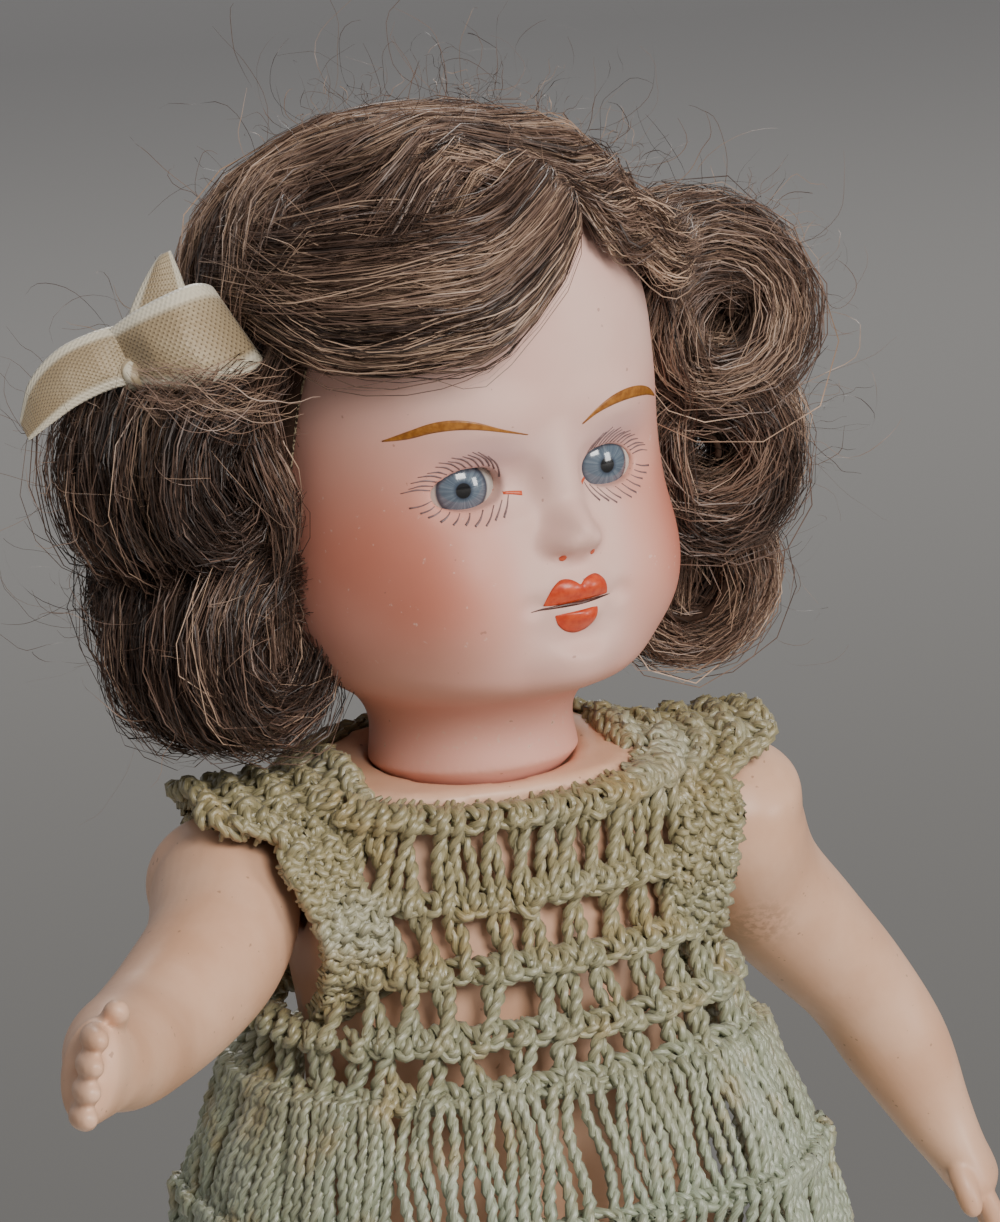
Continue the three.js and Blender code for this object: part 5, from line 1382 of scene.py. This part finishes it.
# %% Two ply thread along paths
def frames_along(paths):
    """Two normals at each point of each path, carried along without twisting."""
    run = unit(np.gradient(paths, axis=1))
    normal = np.empty_like(run)
    normal[:, 0] = unit(np.cross(run[:, 0], [0.3, 0.2, 0.93]))
    for step in range(1, paths.shape[1]):
        before, now = normal[:, step - 1], run[:, step]
        normal[:, step] = unit(before - now * np.sum(before * now, -1, keepdims=True))
    return normal, np.cross(run, normal)


# Millimetres of one twist, radius of a ply and its distance from the middle; sides of a ply.
PITCH, PLY, SPREAD, SIDES = 2.9, 0.42, 0.28, 4


def thread(name, path_groups):
    """One mesh of two ply thread along several groups of paths, in body millimetres."""
    all_points, all_faces, all_tone, all_uv, base = [], [], [], [], 0
    for paths in path_groups:
        count, steps = paths.shape[:2]
        normal, second = frames_along(paths)
        length = np.concatenate([np.zeros((count, 1)),
                                 np.cumsum(np.linalg.norm(np.diff(paths, axis=1), axis=-1), 1)], 1)
        fat = rng.uniform(0.9, 1.1, (count, 1))
        tone = rng.uniform(0, 1, count)
        for ply in (0, 1):
            twist = 2 * np.pi * length / PITCH + np.pi * ply + tone[:, None] * 6
            wound = normal * np.cos(twist)[..., None] + second * np.sin(twist)[..., None]
            middle = paths + SPREAD * fat[..., None] * wound
            n, b = frames_along(middle)
            turn = np.arange(SIDES) * 2 * np.pi / SIDES
            taper = PLY * fat * np.clip(np.sin(np.pi * np.linspace(0.03, 0.97, steps)) * 5, 0.3, 1)
            ring = n[:, :, None] * np.cos(turn)[:, None] + b[:, :, None] * np.sin(turn)[:, None]
            points = middle[:, :, None] + ring * taper[:, :, None, None]
            ring_number = np.arange(count)[:, None, None] * steps + np.arange(steps - 1)[None, :, None]
            first = base + ring_number * SIDES
            here, after = np.arange(SIDES), (np.arange(SIDES) + 1) % SIDES
            faces = np.stack([first + here, first + after, first + SIDES + after, first + SIDES + here], -1)
            u = np.broadcast_to(np.stack([here, here + 1, here + 1, here], -1) / SIDES, faces.shape)
            low, high = length[:, :-1, None], length[:, 1:, None]
            v = np.stack([low, low, high, high], -1) + np.zeros(faces.shape)
            all_uv.append(np.stack([u + 7 * tone[:, None, None, None] + 3 * ply, v], -1).reshape(-1, 2))
            all_points.append(points.reshape(-1, 3))
            all_faces.append(faces.reshape(-1, 4))
            all_tone.append(np.broadcast_to(tone[:, None, None], (count, steps, SIDES)).ravel())
            base += count * steps * SIDES
    piece = mesh_piece(name, on_body(np.concatenate(all_points)), np.concatenate(all_faces),
                       tone=np.concatenate(all_tone))
    layer = piece.data.uv_layers.new(name="fibre")
    layer.data.foreach_set("uv", np.concatenate(all_uv).astype(np.float32).ravel())
    return piece


silk = Finish("silk_thread", Specular_IOR_Level=1.0, Sheen_Weight=0.1)
fibre_place = silk.node("ShaderNodeUVMap", {"uv_map": "fibre"})
hairs = silk.noise(1, 2, silk.vector("MULTIPLY", fibre_place, (16, 0.9, 1)), 0.6)
height = silk.node("ShaderNodeSeparateXYZ", None, {0: silk.place()}, out="Z")
faded = silk.between(height + (silk.noise(60, 2) - 0.5) * 0.016 + silk.kept("tone") * 0.006, 0.104, 0.138)
colour = silk.mixed(faded, tint(160, 170, 146), tint(162, 151, 112))
colour = silk.mixed(silk.between(silk.noise(170, 3), 0.52, 0.72) * 0.6, colour, tint(178, 152, 98))
colour = silk.mixed(silk.between(silk.noise(90, 2), 0.55, 0.75) * 0.35, colour, tint(196, 202, 184))
colour = silk.mixed(silk.between(hairs, 0.62, 0.3) * 0.6, colour, tint(104, 100, 66))
silk.give(Base_Color=colour, Roughness=0.27 + hairs * 0.18)
silk.bump(hairs, 0.00012, 0.7)
print("thread is about", round(2 * (PLY + SPREAD), 2), "mm thick")

# %% [markdown]
# ### Stitches on a surface
#
# A surface is a function of a share round, a share down and a distance out.  `chain_row` and
# `post_row` only speak of these three, so the same stitches serve for the yoke, the sleeves and the
# skirt.

# %% Stitch paths
CHAIN_LONG = 1.35


def spaced(count, from_share, to_share, uneven, offset=0.5):
    """The places of stitches along a row, evenly spaced but for a little chance."""
    steps = (np.arange(count) + offset + rng.normal(0, uneven, count)) / count
    return from_share + (to_share - from_share) * steps[:, None]


def chain_row(surface, count, down, pitch, from_share=0.0, to_share=1.0, size=1.0):
    """Small loops along a row; each runs from behind, round the front and back behind."""
    t = np.linspace(-2.75, 2.75, 15)[None, :]
    at = spaced(count, from_share, to_share, 0.06, 0)
    tilt = rng.normal(0, 0.36, (count, 1))
    u = 0.86 * np.cos(t) + tilt * 0.2
    v = 0.62 * size * np.sin(t) + tilt * u + rng.normal(0, 0.12, (count, 1))
    out = 0.62 * np.cos(t) + 0.25 * np.sin(t) + rng.normal(0.25, 0.12, (count, 1))
    return surface(at + u * pitch, down, v, out * size)


def post_row(surface, count, top, bottom, pitch, spread=0.62, steps=24):
    """Pairs of strands between two rows, crossing once and hooked over the chains at their ends."""
    t = np.linspace(-0.16, 1.14, steps)[None, :]
    at = spaced(count, 0, 1, 0.12)
    lean, phase = rng.normal(0, 0.85, (count, 1)), rng.uniform(-0.5, 0.5, (count, 1))
    made = []
    for k in (-1, 1):
        turn = np.pi * (1.1 * t + phase)
        u = k * spread * np.cos(turn) + lean * (t - 0.5) + rng.normal(0, 0.08, (count, 1))
        hook = 1.05 * np.exp(-((t - 0.02) / 0.13) ** 2) + 0.85 * np.exp(-((t - 0.98) / 0.12) ** 2)
        tuck = 1.5 * smoothstep(-0.04, -0.16, t) + 1.5 * smoothstep(1.04, 1.14, t)
        out = 0.2 + k * 0.4 * np.sin(turn) + hook - tuck
        made.append(surface(at + u * pitch, top + (bottom - top) * t, 0, out))
    return made


print("a chain loop has 15 points and a post 24")

# %% Yoke surface
# Levels of the body under the dress: height, half width, depth in front and depth behind.
torso_rows = np.array([
    [-10.5, 4.5, 4.5, 5], [-8.5, 9, 9, 9.5], [-3, 14, 11.5, 12.5], [5, 18.6, 12.8, 13.8],
    [13, 20, 13.8, 13.6], [22, 18.8, 14.2, 12.4], [33, 17.6, 13.4, 12], [42.5, 18.6, 12.8, 12.2],
    [49.5, 19.6, 11.8, 11.8], [55.4, 18.6, 11, 11.2], [57.8, 16.4, 11, 11.2], [59.4, 13.6, 11.5, 11.5],
    [60.8, 11.9, 11.5, 11.5], [62.5, 11.5, 11.5, 11.5]])
WAIST = 33.0


def neck_edge(angle):
    return RIM - 2.8 + 3.6 * np.clip(2 * np.sin(angle / 2) ** 2, 0, 1) ** 0.8


def yoke_point(angle, z, out):
    loose = 1.2 + out + 3.6 * (1 - smoothstep(WAIST, SHOULDER - 3, z))
    sizes = through(torso_rows, z - 1.2 * smoothstep(SHOULDER, RIM - 2, z)) + loose[..., None]
    return np.concatenate([round_level(angle, sizes, 2.4), z[..., None]], -1)


even = np.linspace(-np.pi, np.pi, 721)
ring_points = yoke_point(even, np.full(len(even), 42.0), np.zeros(len(even)))
girth = np.concatenate([[0], np.cumsum(np.linalg.norm(np.diff(ring_points, axis=0), axis=1))])
GIRTH = girth[-1]


def yoke_surface(around, down, drop, out):
    """Around in shares of the girth, starting behind; down 0 at the neck edge and 1 at the waist."""
    around, down, drop, out = np.broadcast_arrays(around, down, drop, out)
    angle = np.interp(around % 1 * GIRTH, girth, even)
    top = neck_edge(angle)
    return yoke_point(angle, np.clip(top + (WAIST - top) * down - drop, 30, 61.4), out)


def outside_armholes(paths):
    """The stitches whose middles do not lie in an armhole."""
    middle = paths[:, paths.shape[1] // 2]
    gone = np.hypot(middle[:, 1], middle[:, 2] - SHOULDER) < 10.8
    return paths[~(gone & (np.abs(middle[:, 0]) > 16.4))]


print("girth of the yoke", round(float(GIRTH), 1), "mm")

# %% Yoke stitches
rows_down = [0.03, 0.33, 0.58, 0.81, 1.0]
yoke_paths = []
for level_down, count in zip(rows_down, (62, 60, 58, 58, 60)):
    chain = chain_row(yoke_surface, count, level_down, CHAIN_LONG / GIRTH, size=1.2)
    yoke_paths.append(outside_armholes(chain))
for (top, bottom), count in zip(zip(rows_down, rows_down[1:]), (48, 33, 32, 33)):
    for posts in post_row(yoke_surface, count, top, bottom, 1 / GIRTH):
        yoke_paths.append(outside_armholes(posts))
yoke = thread("dress_yoke", yoke_paths)
dress_up(yoke, silk, "torso", "thread", "dress_bodice")
print("yoke has", len(yoke.data.polygons), "faces")

# %% [markdown]
# ### Sleeves
#
# Each cap sleeve is worked from the neck outwards over the shoulder, and an edging of chain runs on
# from its rim, down round the armhole.  In front, and less behind, the rim draws back to
# leave the arm room to swing.

# %% Cap sleeves
def sleeve_surface(sign):
    def surface(around, down, drop, out):
        """Around from the front edge to the back edge, down from the neck to the sleeve's rim."""
        around, down, drop, out = np.broadcast_arrays(around, down, drop, out)
        tilt = np.radians(-62 + 124 * around)
        drawn = 6.2 * smoothstep(-0.5, -0.98, tilt) + 2.8 * smoothstep(0.4, 1.0, tilt)
        x = 13.2 + (13.4 - drawn) * down + drop
        radius = 9.9 + out + 0.9 * smoothstep(0.3, 0, down)
        return np.stack([sign * x, radius * np.sin(tilt), SHOULDER + radius * np.cos(tilt)], -1)
    return surface


def armhole_surface(sign, part, shift):
    def surface(around, down, drop, out):
        """Around from the sleeve's rim down along the armhole, down across its edge."""
        around, down, drop, out = np.broadcast_arrays(around, down, drop, out)
        tilt = np.radians(58 + 92 * around) * part
        rim, narrow = (21, 2.8) if part < 0 else (24, 5.8)
        x = rim - shift - narrow * smoothstep(0.0, 0.6, around) - 20 * down - drop
        radius = 10.2 + 1.6 * smoothstep(0, 0.5, around) + 0.7 * out
        return np.stack([sign * x, radius * np.sin(tilt), SHOULDER + radius * np.cos(tilt)], -1)
    return surface


SLEEVE_ARC, ARMHOLE_ARC = 21, 24
sleeve_rows = [0.0, 0.27, 0.53, 0.77, 1.0]
for side, sign in (("left", 1), ("right", -1)):
    surface = sleeve_surface(sign)
    sleeve_paths = []
    for level_down in sleeve_rows:
        sleeve_paths.append(chain_row(surface, 13, level_down, CHAIN_LONG / SLEEVE_ARC, size=1.2))
    for top, bottom in zip(sleeve_rows, sleeve_rows[1:]):
        sleeve_paths += post_row(surface, 12, top, bottom, 1 / SLEEVE_ARC, spread=0.5, steps=18)
    for part in (-1, 1):
        for shift, count in ((0, 15), (1.9, 14), (3.8, 13)):
            edge = armhole_surface(sign, part, shift)
            sleeve_paths.append(chain_row(edge, count, 0, 1.4 / ARMHOLE_ARC, size=1.15))
            sleeve_paths += post_row(edge, count, -0.04, 0.05, 1 / ARMHOLE_ARC, spread=0.4, steps=12)
    sleeve = thread(f"dress_sleeve_{side}", sleeve_paths)
    dress_up(sleeve, silk, "torso", "thread", "dress_bodice")
    print(sleeve.name, "has", len(sleeve.data.polygons), "faces")

# %% [markdown]
# ### Skirt of loops
#
# Four tiers of long loops hang from rows of chain, wider from tier to tier.  The skirt is made in
# groups round the body.

# %% Skirt
SKIRT, HEM, SKIRT_GIRTH = 49.0, np.array([37.0, 33.0, 33.0]), 190
TIER_LONG, BUNDLES, GROUPS = 13.4, 45, 20
BLEND_TOP, BLEND_DEEP = 24, 40
waist_sizes = through(torso_rows, np.array([33.35]))[0] + 5.95


def skirt_surface(around, down, drop, out):
    """Around in shares of a turn, starting behind; down 0 at the waist and 1 at the hem."""
    around, down, drop, out = np.broadcast_arrays(around, down, drop, out)
    angle = -np.pi + 2 * np.pi * around
    share = np.clip(down + drop / SKIRT, 0, 1.02)
    fold = 1.5 * share * np.cos(10 * angle + 0.6 * np.sin(3 * angle))
    flare = share[..., None] ** 0.6
    sizes = waist_sizes + (HEM - waist_sizes) * flare + (fold + out - 1.2)[..., None]
    flat = round_level(angle, sizes, 2.4 - 0.3 * share)
    return np.concatenate([flat, (WAIST - SKIRT * share)[..., None]], -1)


def loop_row(count, top, from_share, to_share, long):
    """Long loops: up and over the chain at the top, down, round at the bottom and up again."""
    t = np.linspace(0, 1, 46)[None, :]
    fall = np.interp(t, [0, 0.06, 0.47, 0.53, 0.94, 1], [0.05, -0.05, 0.97, 0.97, -0.05, 0.05])
    at = spaced(count, from_share, to_share, 0.1)
    gap = (to_share - from_share) / count
    u = gap * (0.27 * np.tanh((t - 0.5) * 16) + 0.17 * np.sin(7 * fall + rng.uniform(0, 6, (count, 1))))
    reach = long * rng.uniform(0.93, 1.07, (count, 1))
    hook = 1.1 * np.exp(-(fall / 0.12) ** 2) - 1.5 * smoothstep(0.04, 0, t) - 1.5 * smoothstep(0.96, 1, t)
    sway = 0.35 * np.sin(5 * fall + rng.uniform(0, 6, (count, 1)))
    out = 0.5 + hook + sway - 0.7 * smoothstep(0.75, 1, fall)
    bundle = np.sin(2 * np.pi * BUNDLES * at) / (2 * np.pi * BUNDLES)
    lean = rng.normal(0, 0.2, (count, 1)) * gap - 0.7 * bundle
    return skirt_surface(at + u + 0.6 * bundle + lean * fall, top, fall * reach, out)


tiers = [(0.0, 76), (0.24, 72), (0.48, 72), (0.72, 72)]
for group in range(GROUPS):
    start, end = group / GROUPS, (group + 1) / GROUPS
    paths = []
    for top, count in tiers:
        own = count // GROUPS + (1 if (group * 7) % GROUPS < count % GROUPS else 0)
        paths.append(loop_row(own, top, start, end, TIER_LONG))
        paths.append(chain_row(skirt_surface, own + 1, top, 1.5 / SKIRT_GIRTH, start, end))
    hem = thread(f"dress_skirt_{group + 1}", paths)
    dress_up(hem, silk, None, "thread", "dress_skirt")
    angle = -np.pi + np.pi * (start + end)
    leg = "leg_left" if math.sin(angle) > 0 else "leg_right"
    soft = 1.15 + 0.9 * (1 - abs(math.sin(angle)))
    high, low = on_body([0, 0, BLEND_TOP]), on_body([0, 0, BLEND_TOP - BLEND_DEEP * soft])
    tuple(high)
    tuple(low)
    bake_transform(hem)
print("skirt loops:", sum(count for _, count in tiers))

# %% [markdown]
# ## What lies inside
#
# Inside the doll are the pieces that hold it together.  They keep their solids and get the finish
# of what they are: plaster behind the eyes, a pressed card pate, a turned wooden button, bent iron
# wire and elastic cord with a braided cover.

# %% Finishes of the hidden pieces
clothed = []


def clothe(finish, *nodes):
    """Gives solids that show as they are their finish."""
    for node in nodes:
        solid = frame["nodes"][node]
        solid.data.materials.clear()
        solid.data.materials.append(finish.material)
        clothed.append(node)


plaster = Finish("plaster", Specular_IOR_Level=0.2)
chalk = plaster.noise(700, 4)
plaster.grained(chalk, tint(206, 200, 188), tint(236, 232, 222), 0.8, 0.15, 0.0002, 0.8)
clothe(plaster, "eye_plaster_left", "eye_plaster_right")

card = Finish("pressed_card", Specular_IOR_Level=0.2)
pulp = card.noise(520, 5)
card.grained(pulp, tint(122, 98, 72), tint(172, 148, 116), 0.78, 0.15, 0.0001, 0.7)
clothe(card, "crown_pate")

wood = Finish("turned_wood", Specular_IOR_Level=0.35)
grain = wood.noise(900, 4, wood.vector("MULTIPLY", wood.place(), (1, 1, 0.12)), 0.6)
wood.grained(grain, tint(136, 96, 58), tint(198, 158, 112), 0.5, 0.2, 0.00008, 0.6)
clothe(wood, "neck_button")

iron = Finish("iron_wire", Specular_IOR_Level=0.5)
rust = iron.between(iron.noise(480, 4), 0.48, 0.66)
iron.grained(rust, tint(126, 122, 116), tint(112, 66, 40), 0.38, 0.4, 0.00005, 0.7)
iron.give(Metallic=1 - rust * 0.85)
clothe(iron, "neck_hook", "arm_hook_left", "arm_hook_right", "leg_hook_left", "leg_hook_right")

elastic = Finish("elastic_cord", Specular_IOR_Level=0.25)
ribs = elastic.node("ShaderNodeTexWave", {"wave_type": "BANDS", "bands_direction": "DIAGONAL"},
                    {"Vector": elastic.place(), "Scale": 420.0, "Distortion": 1.5}, out="Fac")
elastic.grained(ribs, tint(168, 154, 130), tint(222, 212, 192), 0.7, 0.15, 0.00012, 0.8)
clothe(elastic, "arm_elastic", "leg_elastic")
print("hidden pieces finished:", len(clothed))
